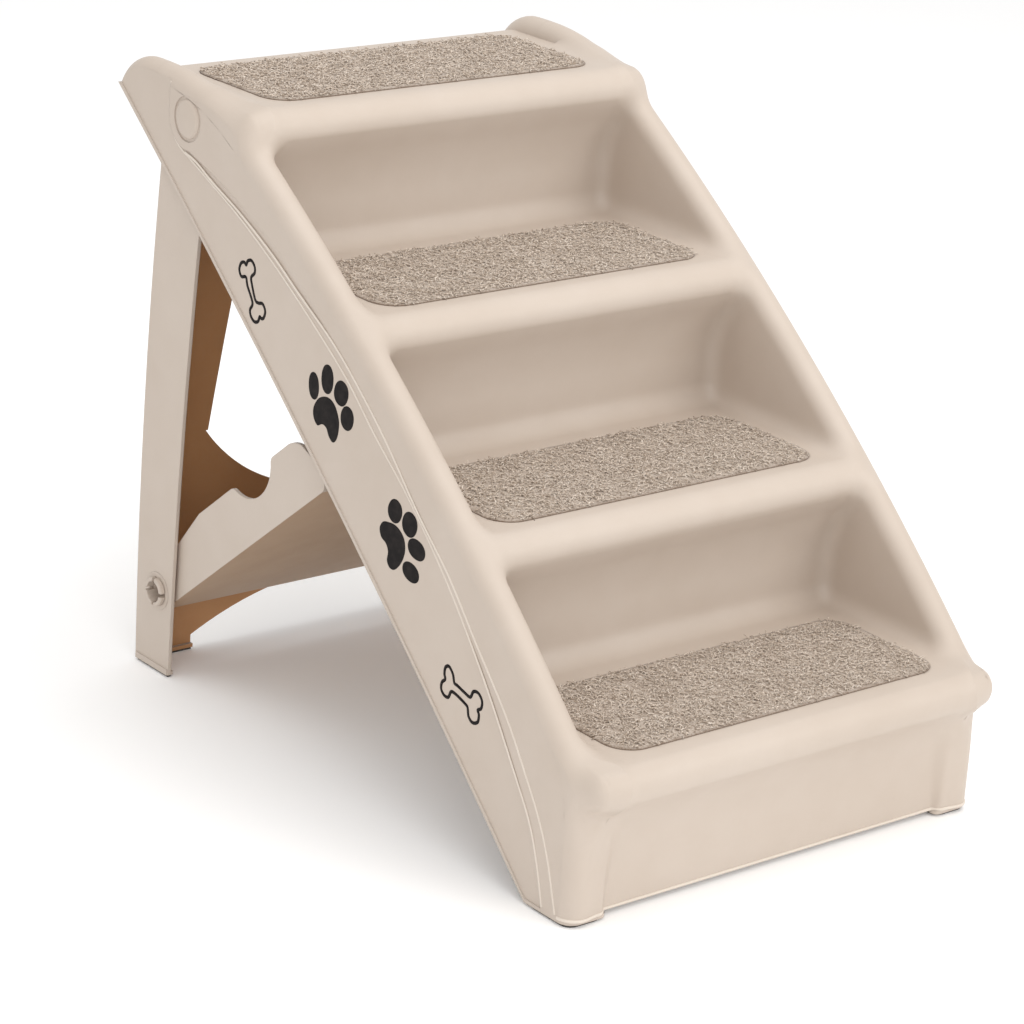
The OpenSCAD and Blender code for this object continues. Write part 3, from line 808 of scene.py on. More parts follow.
@dataclass
class SmoothSkin:
    """The outer surface of the shell from the front foot to the hump, found along rays onto the filleted form.

    The rows follow the middle of the rim. Across the stairs the rays start side by side over the treads, then
    fan out from a point above the tread onto the cheek, and at last close in on the middle of the rim.
    """

    form: ShellForm
    foot_z: float = 5.2
    rear_y: float = 232.0
    row_step: float = 1.5
    tilt: float = 135.0
    bend: tuple[float, float] = (18.0, 120.0)
    flat_x: tuple[float, ...] = (0.0, 65.0)
    fan_x: float = 110.0
    fan_height: float = 140.0
    fan_step: float = 0.5
    close_steps: int = 16
    start: float = 60.0
    marches: int = 200
    march_share: float = 0.9
    cover_gap: float = 0.6
    rim_under: float = -0.2
    side_x: float = 0.190
    post_gap: float = 2.2
    post_x: float = 0.150
    post_y: float = -0.272
    post_z: float = 0.115

    def rows(self) -> tuple[np.ndarray, np.ndarray]:
        """Points on the rim's middle line and the outward direction of each row, in the side view."""
        line = np.array(self.form.rim_points)
        step = np.hypot(*np.diff(line, axis=0).T)
        run = np.concatenate([[0.0], np.cumsum(step)])
        first = np.interp(self.foot_z, line[:2, 1], run[:2])
        last = run[np.argmax(line[:, 0] > self.rear_y)]
        at = np.linspace(first, last, int((last - first) / self.row_step) + 1)
        places = np.stack([np.interp(at, run, line[:, 0]), np.interp(at, run, line[:, 1])], axis=1)
        bend_from, bend_to = run[1] + self.bend[0], run[1] + self.bend[1]
        share = np.clip((at - bend_from) / (bend_to - bend_from), 0.0, 1.0)
        share = share * share * (3 - 2 * share)
        angle = np.radians(180.0 + (self.tilt - 180.0) * share)
        return places, np.stack([np.cos(angle), np.sin(angle)], axis=1)

    def columns(self) -> np.ndarray:
        """Start and direction of each column's ray, as X and height over the rim's middle."""
        crest = (self.form.rim_x - self.fan_x, self.fan_height - self.form.rim_r)
        widest = math.atan2(*crest)
        count = int(math.degrees(widest) / self.fan_step)
        half = [(x, self.start, 0.0, -1.0) for x in self.flat_x]
        for i in range(count):
            a = widest * i / count
            half.append((self.fan_x, self.fan_height, math.sin(a), -math.cos(a)))
        for i in range(self.close_steps + 1):
            a = math.pi / 2 * i / self.close_steps
            c, s = math.cos(a), math.sin(a)
            half.append((self.form.rim_x + self.start * s, self.start * c, -s, -c))
        return np.array([(-x, h, -dx, dh) for x, h, dx, dh in reversed(half)] + half[1:])

    def grid(self) -> np.ndarray:
        """Places of the surface in millimetres, by row and column."""
        places, outward = self.rows()
        cols = self.columns()
        shape = (len(places), len(cols))
        start, ray = np.zeros(shape + (3,)), np.zeros(shape + (3,))
        start[..., 0] = cols[:, 0]
        start[..., 1:] = places[:, None, :] + outward[:, None, :] * cols[:, 1][None, :, None]
        ray[..., 0] = cols[:, 2]
        ray[..., 1:] = outward[:, None, :] * cols[:, 3][None, :, None]
        far = np.zeros(shape)
        for _ in range(self.marches):
            at = start + ray * far[..., None]
            far = far + self.form.distance(at[..., 0], at[..., 1], at[..., 2]) * self.march_share
        return start + ray * far[..., None]

    def add_to(self, bm: bmesh.types.BMesh) -> list[bmesh.types.BMFace]:
        """Adds the surface to a mesh, in metres, and returns its faces."""
        grid = self.grid() / 1000.0
        self.foot_line = [tuple(p) for p in grid[0]]
        verts = [[bm.verts.new(tuple(p)) for p in row] for row in grid]
        faces = []
        for low, high in zip(verts, verts[1:]):
            for i in range(len(low) - 1):
                faces.append(bm.faces.new((low[i], low[i + 1], high[i + 1], high[i])))
        bm.normal_update()
        return faces

    def clear_under(self, bm: bmesh.types.BMesh) -> int:
        """Cuts the CAD surface at the skin's ends and removes what the skin covers."""
        places, outward = self.rows()
        for k in (0, -1):
            across = Vector((0.0, -outward[k][1], outward[k][0]))
            bmesh.ops.bisect_plane(
                bm,
                geom=list(bm.verts) + list(bm.edges) + list(bm.faces),
                dist=0.000001,
                plane_co=Vector((0.0, places[k][0], places[k][1])) / 1000.0,
                plane_no=across,
            )
        first, last = (Vector((0.0, *places[k])) / 1000.0 for k in (0, -1))
        no_first, no_last = (Vector((0.0, -outward[k][1], outward[k][0])) for k in (0, -1))
        bm.verts.index_update()
        spots = np.array([tuple(v.co) for v in bm.verts]).T * 1000.0
        plain = np.abs(self.form.plain(*spots))
        gone = []
        for face in bm.faces:
            mid = face.calc_center_median()
            if (mid - first).dot(no_first) * (last - first).dot(no_first) < 0:
                continue
            if (mid - last).dot(no_last) * (first - last).dot(no_last) < 0:
                continue
            at_post = abs(mid.x) > self.post_x and mid.y < self.post_y and mid.z < self.post_z
            near = plain[[v.index for v in face.verts]].max() < (self.post_gap if at_post else self.cover_gap)
            side = abs(face.normal.x) > 0.999 and abs(mid.x) > self.side_x
            at = np.array([[mid.y], [mid.z]]) * 1000.0
            under = abs(mid.x) > self.side_x and self.form.rim_side.distance(*at)[0] < self.rim_under
            if near and not side and not under:
                gone.append(face)
        bmesh.ops.delete(bm, geom=gone, context="FACES")
        return len(gone)


@dataclass
class StairShell(Moulding):
    """The stair shell. Its outer surface is the filleted skin, and its sides' step becomes a sloping band."""

    skin: SmoothSkin = field(default_factory=lambda: SmoothSkin(ShellForm()))
    half_width: float = 0.198
    step_start: Pair = (-258.5, 5.0)
    step_end: Pair = (208.146, 437.872)
    sag: float = 61.0
    power: float = 2.6
    chords: int = 14
    band_foot: float = 12.0
    band_mid: float = 8.4
    narrows_to: float = 0.45
    thins_from: float = 0.5
    on_face: float = 0.00005
    on_curve: float = 0.0004

    def step_curve(self) -> list[tuple[Vector, Vector, float]]:
        """Points on the step's line with the direction up the face and the band's width, in metres."""
        p, q = Vector(self.step_start), Vector(self.step_end)
        run = (q - p).normalized()
        up = Vector((-run.y, run.x))
        made = []
        for i in range(self.chords + 1):
            u = i / self.chords
            at = p + (q - p) * u + up * self.sag * (1 - abs(2 * u - 1) ** self.power)
            width = self.band_foot + (self.band_mid - self.band_foot) * min(1.0, u / self.narrows_to)
            if u > self.thins_from:
                width = self.band_mid * (1 - ((u - self.thins_from) / (1 - self.thins_from)) ** 2)
            made.append((at / 1000, up, mm(width)))
        return made

    def carve(self, bm: bmesh.types.BMesh) -> None:
        """Removes the outer faces that the skin covers."""
        LOG.info("outer faces removed: %d", self.skin.clear_under(bm))

    def cover(self, bm: bmesh.types.BMesh) -> None:
        """Adds the skin."""
        for face in self.skin.add_to(bm):
            face.smooth = True

    def refine(self, bm: bmesh.types.BMesh) -> None:
        """Moves the outer edge of the step up the face, so that its wall becomes a sloping band."""
        curve = self.step_curve()[1:]
        for vert in bm.verts:
            if abs(abs(vert.co.x) - self.half_width) > self.on_face:
                continue
            for at, up, width in curve:
                if math.hypot(vert.co.y - at.x, vert.co.z - at.y) < self.on_curve:
                    vert.co.y += up.x * width
                    vert.co.z += up.y * width
                    break


@dataclass
class PivotCap(Moulding):
    """A pivot cap with a domed face and a rounded edge."""

    profile: tuple[Pair, ...] = (
        (0.0, 199.9), (7.0, 199.85), (11.2, 199.6), (13.1, 199.2), (14.4, 198.4), (15.2, 197.2), (15.6, 195.6),
        (15.7, 191.0),
    )
    turns: int = 96

    def merged(self) -> bmesh.types.BMesh:
        """The cap as a turned form on the node's own axis."""
        low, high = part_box(self.node)
        side = math.copysign(1.0, low[0] + high[0])
        at_y, at_z = (low[1] + high[1]) / 2, (low[2] + high[2]) / 2
        bm = bmesh.new()
        crown = bm.verts.new((side * mm(self.profile[0][1]), at_y, at_z))
        rings = []
        for r, x in self.profile[1:]:
            ring = []
            for i in range(self.turns):
                a = 2 * math.pi * i / self.turns
                y, z = at_y + mm(r) * math.cos(a), at_z + mm(r) * math.sin(a)
                ring.append(bm.verts.new((side * mm(x), y, z)))
            rings.append(ring)
        for i in range(self.turns):
            j = (i + 1) % self.turns
            bm.faces.new((crown, rings[0][i], rings[0][j]))
            for near, far in zip(rings, rings[1:]):
                bm.faces.new((near[i], far[i], far[j], near[j]))
        bm.faces.new(rings[-1])
        bmesh.ops.recalc_face_normals(bm, faces=bm.faces)
        return bm


@dataclass
class ShadedMoulding(Moulding):
    """A channel-shaped moulding whose inner faces get a warmer, darker copy of the cream: painted shade for the
    shade and warm bounce light inside the channel.
    """

    painted_shade_finish: Optional[bpy.types.Material] = None

    def is_inside(self, face: bmesh.types.BMFace) -> bool:
        """Whether a face lies in the channel."""
        raise NotImplementedError

    def build(self) -> bpy.types.Object:
        """Builds the piece and gives its inner faces the painted-shade finish."""
        piece = super().build()
        piece.data.materials.append(self.painted_shade_finish)
        bm = bmesh.new()
        bm.from_mesh(piece.data)
        bm.normal_update()
        for face in bm.faces:
            if self.is_inside(face):
                face.material_index = 1
        bm.to_mesh(piece.data)
        bm.free()
        return piece


@dataclass
class LegFrame(ShadedMoulding):
    """The rear leg frame, open towards the front."""

    floor_gap: float = 0.012
    inner_x: float = 0.1735

    def is_inside(self, face: bmesh.types.BMFace) -> bool:
        """The front face of the web and the inner faces of the two legs."""
        mid, out = face.calc_center_median(), face.normal
        inward = out.x * mid.x < -0.5 * abs(mid.x) and mid.z > self.floor_gap
        return inward or (out.y < -0.8 and abs(mid.x) < self.inner_x)


@dataclass
class BracePanel(ShadedMoulding):
    """The brace, open downwards, with the corners of its flanges rounded."""

    corner: float = 0.009
    corner_steps: int = 6
    wall: float = 0.0045
    pin_end_z: float = 0.09
    web_area: float = 0.001

    def is_inside(self, face: bmesh.types.BMFace) -> bool:
        """The lower face of the web."""
        return face.normal.z < -0.5 and face.calc_area() > self.web_area

    def refine(self, bm: bmesh.types.BMesh) -> None:
        """Rounds the corners of the flanges, each by itself."""
        chosen = []
        for edge in bm.edges:
            run = edge.verts[1].co - edge.verts[0].co
            across = abs(run.x) > 0.98 * run.length and run.length < self.wall
            if across and edge.verts[0].co.z > self.pin_end_z and edge.calc_face_angle(0.0) > 0.3:
                chosen.append(edge)
        for edge in chosen:
            bmesh.ops.bevel(
                bm,
                geom=[edge],
                offset=self.corner,
                offset_type="OFFSET",
                segments=self.corner_steps,
                profile=0.5,
                affect="EDGES",
                clamp_overlap=True,
            )
        LOG.info("%s: %d corners rounded", self.node, len(chosen))


@dataclass
class Beads:
    """The raised lines of the shell: two along each side face, and one round the foot of the front, in a
    lighter cream that paints a highlight along them.
    """

    finish: bpy.types.Material
    foot_line: Sequence[Triple]
    lower_line: tuple[Pair, ...] = (
        (236.7, 486.0), (237.0, 477.0), (235.7, 458.0), (230.7, 446.0), (221.6, 438.0), (207.0, 432.0),
        (182.7, 422.0), (144.0, 405.6), (110.0, 388.6), (76.0, 369.6), (31.7, 342.0), (-5.0, 316.6),
        (-38.0, 288.0), (-80.0, 255.0), (-119.0, 218.5), (-154.0, 181.0), (-185.6, 142.7), (-220.7, 93.0),
        (-240.0, 63.7), (-251.0, 36.5), (-259.5, 6.3),
    )
    upper_line: tuple[Pair, ...] = (
        (214.0, 436.0), (198.5, 432.0), (176.0, 422.0), (138.0, 407.0), (96.8, 387.5), (59.5, 366.0),
        (15.0, 341.0), (-21.6, 314.0), (-55.5, 285.0), (-94.8, 246.0), (-133.5, 212.0), (-170.0, 172.0),
        (-207.0, 132.0), (-229.0, 102.0), (-248.6, 72.6), (-262.0, 44.7), (-274.0, 6.8),
    )
    lower_x: float = 0.1971
    upper_x: float = 0.1980
    side_size: Pair = (0.0021, 0.0010)
    foot_size: Pair = (0.0017, 0.0027)
    foot_up: float = 0.0004

    @staticmethod
    def lift(z: float, high: float = 200.0, low: float = 150.0, step: float = 0.0009) -> float:
        """How far the lower line comes out where it leaves the step of the side face."""
        share = min(max((high - z) / (high - low), 0.0), 1.0)
        return step * share * share * (3 - 2 * share)

    @staticmethod
    def eased(points: Sequence[Pair], steps: int = 6) -> list[Pair]:
        """An open smooth line through points."""
        row = [points[0], *points, points[-1]]
        return spline(row, 1, len(row) - 2, steps) + [points[-1]]

    def tree(self) -> bpy.types.NodeTree:
        """Tree that sweeps a flattened round bead along a line drawn on the floor."""
        sizes = [("Bead Width", "NodeSocketFloat", 0.0012), ("Bead Height", "NodeSocketFloat", 0.0007)]
        tree = GrowthTree("bead", sizes)
        b = tree.bench
        path = b.node("GeometryNodeMeshToCurve", {}, [tree.given("Geometry")])
        wide, tall = tree.given("Bead Width"), tree.given("Bead Height")
        ring = b.node(
            "GeometryNodeCurvePrimitiveCircle", {"mode": "RADIUS"}, {"Resolution": 10, "Radius": wide * 0.5}
        )
        squash = b.node("ShaderNodeCombineXYZ", {}, [1.0, tall / wide, 1.0])
        flat = b.node("GeometryNodeTransform", {}, {"Geometry": ring, "Scale": squash})
        level = b.node("GeometryNodeSetCurveNormal", {"mode": "Z_UP"}, [path])
        sweep = b.node(
            "GeometryNodeCurveToMesh", {}, {"Curve": level, "Profile Curve": flat, "Fill Caps": True}
        )
        smooth = b.node("GeometryNodeSetShadeSmooth", {}, [sweep])
        return tree.close(smooth, self.finish)

    def swept(self, name: str, points: Sequence[Triple], width: float, height: float) -> bpy.types.Object:
        """Sweeps a bead along a line near the floor plane."""
        mesh = bpy.data.meshes.new(name)
        mesh.from_pydata(list(points), [(i, i + 1) for i in range(len(points) - 1)], [])
        piece = add_object(name, mesh)
        grow = piece.modifiers.new("bead", "NODES")
        grow.node_group = self.grown
        set_input(grow, "Bead Width", width)
        set_input(grow, "Bead Height", height)
        return baked(piece)

    def build(self) -> list[bpy.types.Object]:
        """Builds the beads.

        Returns:
            One piece for each line and side, and the foot bead.
        """
        self.grown = self.tree()
        made = []
        for side in Side:
            word = side.name.lower()
            for name, line, x in (
                ("lower", self.lower_line, self.lower_x),
                ("upper", self.upper_line, self.upper_x),
            ):
                flat = [(mm(y), mm(z), self.lift(z) if name == "lower" else 0.0) for y, z in self.eased(line)]
                piece = self.swept(f"side_bead_{name}_{word}", flat, *self.side_size)
                stand_on_side(piece, side, x)
                made.append(piece)
        foot = [(x, y, z + self.foot_up) for x, y, z in self.foot_line]
        made.append(self.swept("foot_bead", foot, *self.foot_size))
        for piece in made:
            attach(piece, Body.SHELL.value)
        return made


# ---- carpet pads -------------------------------------------------------------------------------------------


@dataclass
class CarpetPads:
    """The four carpet pads, each a thin backed body with a short twisted pile grown over it."""

    finish: bpy.types.Material
    width: float = 0.3114
    length: float = 0.117
    corner: float = 0.022
    sink: float = 0.0012
    crown: float = 0.0011
    pad_back: float = 0.0255
    going: float = 0.1475
    rise: float = 0.12
    front: float = -0.310
    first_tread: float = 0.1225
    count: int = 4
    corner_steps: int = 12
    strands: float = 190000.0
    strand_length: float = 0.0045
    strand_radius: float = 0.00045
    seed: int = 11
    size_seed: int = 5

    def outline(self, inset: float) -> list[Pair]:
        """Outline of a pad, inset towards its middle."""
        w, l, r = self.width / 2 - inset, self.length / 2 - inset, max(self.corner - inset, 0.001)
        points = []
        for cx, cy, start in ((w - r, l - r, 0), (r - w, l - r, 90), (r - w, r - l, 180), (w - r, r - l, 270)):
            for i in range(self.corner_steps + 1):
                a = math.radians(start + 90 * i / self.corner_steps)
                points.append((cx + r * math.cos(a), cy + r * math.sin(a)))
        return points

    def place(self, number: int) -> Vector:
        """Middle of a tread's pad, at the height of the tread."""
        y = self.front + self.going * number + self.pad_back + self.length / 2
        return Vector((0.0, y, self.first_tread + self.rise * number))

    def body_mesh(self, number: int) -> bpy.types.Mesh:
        """The pad's body: a backing, a rounded edge and a lightly crowned top."""
        at = self.place(number)
        rings = [(0.0, 0.00002 - self.sink), (0.0, -0.0002), (0.0002, self.crown * 0.55)]
        rings += [(0.0018, self.crown * 0.8), (0.0036, self.crown), (0.012, self.crown), (0.024, self.crown)]
        bm = bmesh.new()
        loops = []
        for inset, height in rings:
            loops.append([bm.verts.new((at.x + x, at.y + y, at.z + height)) for x, y in self.outline(inset)])
        for low, high in zip(loops, loops[1:]):
            for i in range(len(low)):
                j = (i + 1) % len(low)
                bm.faces.new((low[i], low[j], high[j], high[i]))
        bm.faces.new(loops[-1])
        bm.faces.new(list(reversed(loops[0])))
        bmesh.ops.recalc_face_normals(bm, faces=bm.faces)
        for face in bm.faces:
            face.smooth = True
        mesh = bpy.data.meshes.new("pad_body")
        bm.to_mesh(mesh)
        bm.free()
        return mesh

    def pile_tree(self) -> bpy.types.NodeTree:
        """Tree that grows the pile: curved strands scattered over the upward faces."""
        tree = GrowthTree(
            "carpet_pile",
            [
                ("Strands", "NodeSocketFloat", self.strands),
                ("Strand Length", "NodeSocketFloat", self.strand_length),
                ("Strand Radius", "NodeSocketFloat", self.strand_radius),
                ("Seed", "NodeSocketInt", self.seed),
            ],
        )
        b = tree.bench
        normal = b.node("GeometryNodeInputNormal")
        upward = b.node("ShaderNodeSeparateXYZ", {}, [normal], 2) > 0.99
        points = b.node(
            "GeometryNodeDistributePointsOnFaces",
            {"distribute_method": "RANDOM"},
            {
                "Mesh": tree.given("Geometry"),
                "Selection": upward,
                "Density": tree.given("Strands"),
                "Seed": tree.given("Seed"),
            },
        )
        length = tree.given("Strand Length")
        reach = b.node("ShaderNodeCombineXYZ", {}, [length, 0.0, length * 0.10])
        mid = b.node("ShaderNodeCombineXYZ", {}, [length * 0.45, length * 0.22, length * 0.52])
        strand = b.node(
            "GeometryNodeCurveQuadraticBezier",
            {},
            {"Resolution": 3, "Start": (0.0, 0.0, -0.0003), "Middle": mid, "End": reach},
        )
        ring = b.node(
            "GeometryNodeCurvePrimitiveCircle",
            {"mode": "RADIUS"},
            {"Resolution": 3, "Radius": tree.given("Strand Radius")},
        )
        sweep = b.node(
            "GeometryNodeCurveToMesh", {}, {"Curve": strand, "Profile Curve": ring, "Fill Caps": True}
        )
        smooth = b.node("GeometryNodeSetShadeSmooth", {}, [sweep])
        turn = b.node(
            "FunctionNodeRandomValue",
            {"data_type": "FLOAT_VECTOR"},
            {0: (-0.35, -0.30, 0.0), 1: (0.35, 0.30, 2 * math.pi), "Seed": tree.given("Seed")},
        )
        size = b.node(
            "FunctionNodeRandomValue",
            {"data_type": "FLOAT_VECTOR"},
            {0: (0.6, 0.6, 0.55), 1: (1.25, 1.25, 1.15), "Seed": self.size_seed},
        )
        grown = b.node(
            "GeometryNodeInstanceOnPoints",
            {},
            {"Points": points, "Instance": smooth, "Rotation": turn, "Scale": size},
        )
        whole = b.tree.nodes.new("GeometryNodeJoinGeometry")
        b.tree.links.new(grown.socket, whole.inputs[0])
        b.tree.links.new(tree.given("Geometry").socket, whole.inputs[0])
        return tree.close(Wire(b, whole.outputs[0]), self.finish)

    def build(self) -> list[bpy.types.Object]:
        """Builds the four pads.

        Returns:
            The pads.
        """
        tree = self.pile_tree()
        made = []
        for number in range(self.count):
            piece = add_object(f"carpet_pad_{number + 1}", self.body_mesh(number), self.finish)
            grow = piece.modifiers.new("pile", "NODES")
            grow.node_group = tree
            set_input(grow, "Strands", self.strands)
            set_input(grow, "Strand Length", self.strand_length)
            set_input(grow, "Strand Radius", self.strand_radius)
            set_input(grow, "Seed", self.seed + number)
            baked(piece)
            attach(piece, Body.SHELL.value)
            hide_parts(f"tread_pad_{number + 1}")
            made.append(piece)
            LOG.info("%s: %d faces", piece.name, len(piece.data.polygons))
        return made


# ---- printed figures ---------------------------------------------------------------------------------------


@dataclass(frozen=True)
class Toe:
    """One oval toe of a paw, in millimetres in the side view."""

    middle: Pair
    half_across: float
    half_up: float
    lean: float


@dataclass
class PrintedFigures:
    """Common bones and paws printed on both side faces, each a thin layer of ink."""

    finish: bpy.types.Material
    face: float = 0.197
    layer: float = 0.00012
    line: float = 0.0026
    paws: tuple[tuple[tuple[Toe, ...], tuple[Pair, ...]], ...] = (
        (
            (
                Toe((37.9, 302.4), 6.4, 10.4, -4.0),
                Toe((21.6, 312.1), 7.4, 11.2, 2.0),
                Toe((4.1, 306.4), 8.6, 9.8, 20.0),
                Toe((-4.5, 289.8), 7.9, 9.3, 12.0),
            ),
            (
                (23.1, 298.4), (31.5, 294.5), (36.9, 286.5), (36.6, 279.0), (31.5, 273.9), (25.6, 276.4),
                (20.4, 275.2), (16.6, 269.6), (11.8, 266.6), (7.6, 269.5), (5.2, 276.5), (5.2, 285.0),
                (9.6, 293.6), (15.6, 297.9),
            ),
        ),
        (
            (
                Toe((-67.0, 238.7), 8.2, 9.2, 24.0),
                Toe((-84.9, 234.2), 8.8, 9.6, 22.0),
                Toe((-94.3, 218.2), 10.4, 7.6, 8.0),
                Toe((-89.1, 199.2), 10.0, 7.2, 10.0),
            ),
            (
                (-60.6, 228.2), (-53.6, 226.4), (-50.0, 220.6), (-52.3, 214.4), (-58.2, 211.2), (-61.3, 206.0),
                (-60.6, 198.8), (-64.2, 194.4), (-70.2, 194.8), (-76.9, 201.6), (-81.0, 211.0), (-80.2, 219.6),
                (-75.4, 225.4), (-68.2, 228.4),
            ),
        ),
    )
    bones: tuple[tuple[Pair, ...], ...] = (
        (
            (129.3, 360.6), (135.2, 359.6), (138.2, 364.2), (136.2, 369.6), (132.2, 371.4), (129.6, 370.0),
            (127.6, 373.6), (122.9, 375.0), (118.6, 371.4), (118.4, 366.6), (122.5, 362.2), (121.0, 356.6),
            (116.2, 346.6), (112.0, 345.2), (106.6, 346.0), (102.9, 341.4), (104.4, 336.0), (107.2, 334.4),
            (109.6, 335.2), (111.6, 331.0), (116.2, 329.6), (120.8, 332.4), (122.4, 337.0), (119.6, 341.6),
            (120.6, 345.6), (126.9, 354.6),
        ),
        (
            (-146.4, 134.6), (-144.2, 140.4), (-139.4, 144.6), (-135.4, 142.6), (-134.6, 137.4),
            (-135.8, 133.6), (-132.4, 130.0), (-131.9, 124.8), (-135.6, 121.2), (-140.6, 121.4),
            (-143.6, 126.8), (-150.2, 126.4), (-160.4, 123.4), (-163.0, 121.6), (-164.8, 115.4),
            (-169.6, 112.6), (-175.2, 115.2), (-176.0, 121.2), (-174.4, 124.0), (-178.0, 126.6),
            (-178.6, 132.4), (-174.0, 136.8), (-168.4, 136.0), (-165.2, 130.6), (-158.6, 131.6),
            (-150.2, 133.8),
        ),
    )

    @staticmethod
    def rounded(points: Sequence[Pair], steps: int = 5) -> list[Pair]:
        """A closed smooth line through points."""
        return spline(points, 0, len(points), steps)

    @staticmethod
    def oval(toe: Toe, steps: int = 40, power: float = 0.94) -> list[Pair]:
        """Outline of a toe, a little fuller than an ellipse."""
        lean = math.radians(toe.lean)
        made = []
        for i in range(steps):
            a = 2 * math.pi * i / steps
            c, s = math.cos(a), math.sin(a)
            across = toe.half_across * math.copysign(abs(c) ** power, c)
            up = toe.half_up * math.copysign(abs(s) ** power, s)
            made.append(
                (
                    toe.middle[0] + across * math.cos(lean) - up * math.sin(lean),
                    toe.middle[1] + across * math.sin(lean) + up * math.cos(lean),
                )
            )
        return made

    def patch(self, bm: bmesh.types.BMesh, outline: Sequence[Pair], side: Side) -> None:
        """Adds a thin closed patch of ink with this outline to a side face."""
        x0, x1 = side.value * self.face, side.value * (self.face + self.layer)
        inner = [bm.verts.new((x0, mm(y), mm(z))) for y, z in outline]
        outer = [bm.verts.new((x1, mm(y), mm(z))) for y, z in outline]
        faces = [bm.faces.new(inner), bm.faces.new(list(reversed(outer)))]
        for i in range(len(inner)):
            j = (i + 1) % len(inner)
            faces.append(bm.faces.new((inner[j], inner[i], outer[i], outer[j])))
        bmesh.ops.recalc_face_normals(bm, faces=faces)

    def line_tree(self) -> bpy.types.NodeTree:
        """Tree that sweeps a flat line of ink along the outline of a bone."""
        tree = GrowthTree(
            "ink_line", [("Line Width", "NodeSocketFloat", self.line), ("Layer", "NodeSocketFloat", self.layer)]
        )
        b = tree.bench
        path = b.node("GeometryNodeMeshToCurve", {}, [tree.given("Geometry")])
        tall = tree.given("Layer") * 2.0
        box = b.node(
            "GeometryNodeCurvePrimitiveQuadrilateral",
            {"mode": "RECTANGLE"},
            {"Width": tree.given("Line Width"), "Height": tall},
        )
        flat = b.node("GeometryNodeSetCurveNormal", {"mode": "Z_UP"}, [path])
        sweep = b.node("GeometryNodeCurveToMesh", {}, {"Curve": flat, "Profile Curve": box})
        return tree.close(sweep, self.finish)

    def bone(self, name: str, outline: Sequence[Pair], side: Side) -> bpy.types.Object:
        """Builds the outline of a bone flat on the floor and turns it onto a side face."""
        points = self.rounded(outline)
        mesh = bpy.data.meshes.new(name)
        edges = [(i, (i + 1) % len(points)) for i in range(len(points))]
        mesh.from_pydata([(mm(y), mm(z), 0.0) for y, z in points], edges, [])
        piece = add_object(name, mesh)
        sweep = piece.modifiers.new("line", "NODES")
        sweep.node_group = self.tree
        set_input(sweep, "Line Width", self.line)
        set_input(sweep, "Layer", self.layer)
        baked(piece)
        stand_on_side(piece, side, self.face)
        return piece

    def build(self) -> list[bpy.types.Object]:
        """Builds the figures on both sides.

        Returns:
            One piece for each figure and side.
        """
        self.tree = self.line_tree()
        made = []
        for side in Side:
            word = side.name.lower()
            for number, (toes, sole) in enumerate(self.paws, 1):
                bm = bmesh.new()
                self.patch(bm, self.rounded(sole, 6), side)
                for toe in toes:
                    self.patch(bm, self.oval(toe), side)
                mesh = bpy.data.meshes.new(f"paw_{number}_{word}")
                bm.to_mesh(mesh)
                bm.free()
                made.append(add_object(f"paw_{number}_{word}", mesh, self.finish))
            for number, outline in enumerate(self.bones, 1):
                made.append(self.bone(f"bone_{number}_{word}", outline, side))
        for piece in made:
            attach(piece, Body.SHELL.value)
        LOG.info("printed figures: %d", len(made))
        return made


# ---- studio ------------------------------------------------------------------------------------------------


@dataclass(frozen=True)
class Lamp:
    """A square area lamp: its name, place, side and power in watts, and its colour."""

    name: str
    at: Triple
    size: float
    power: float
    tint: Colour


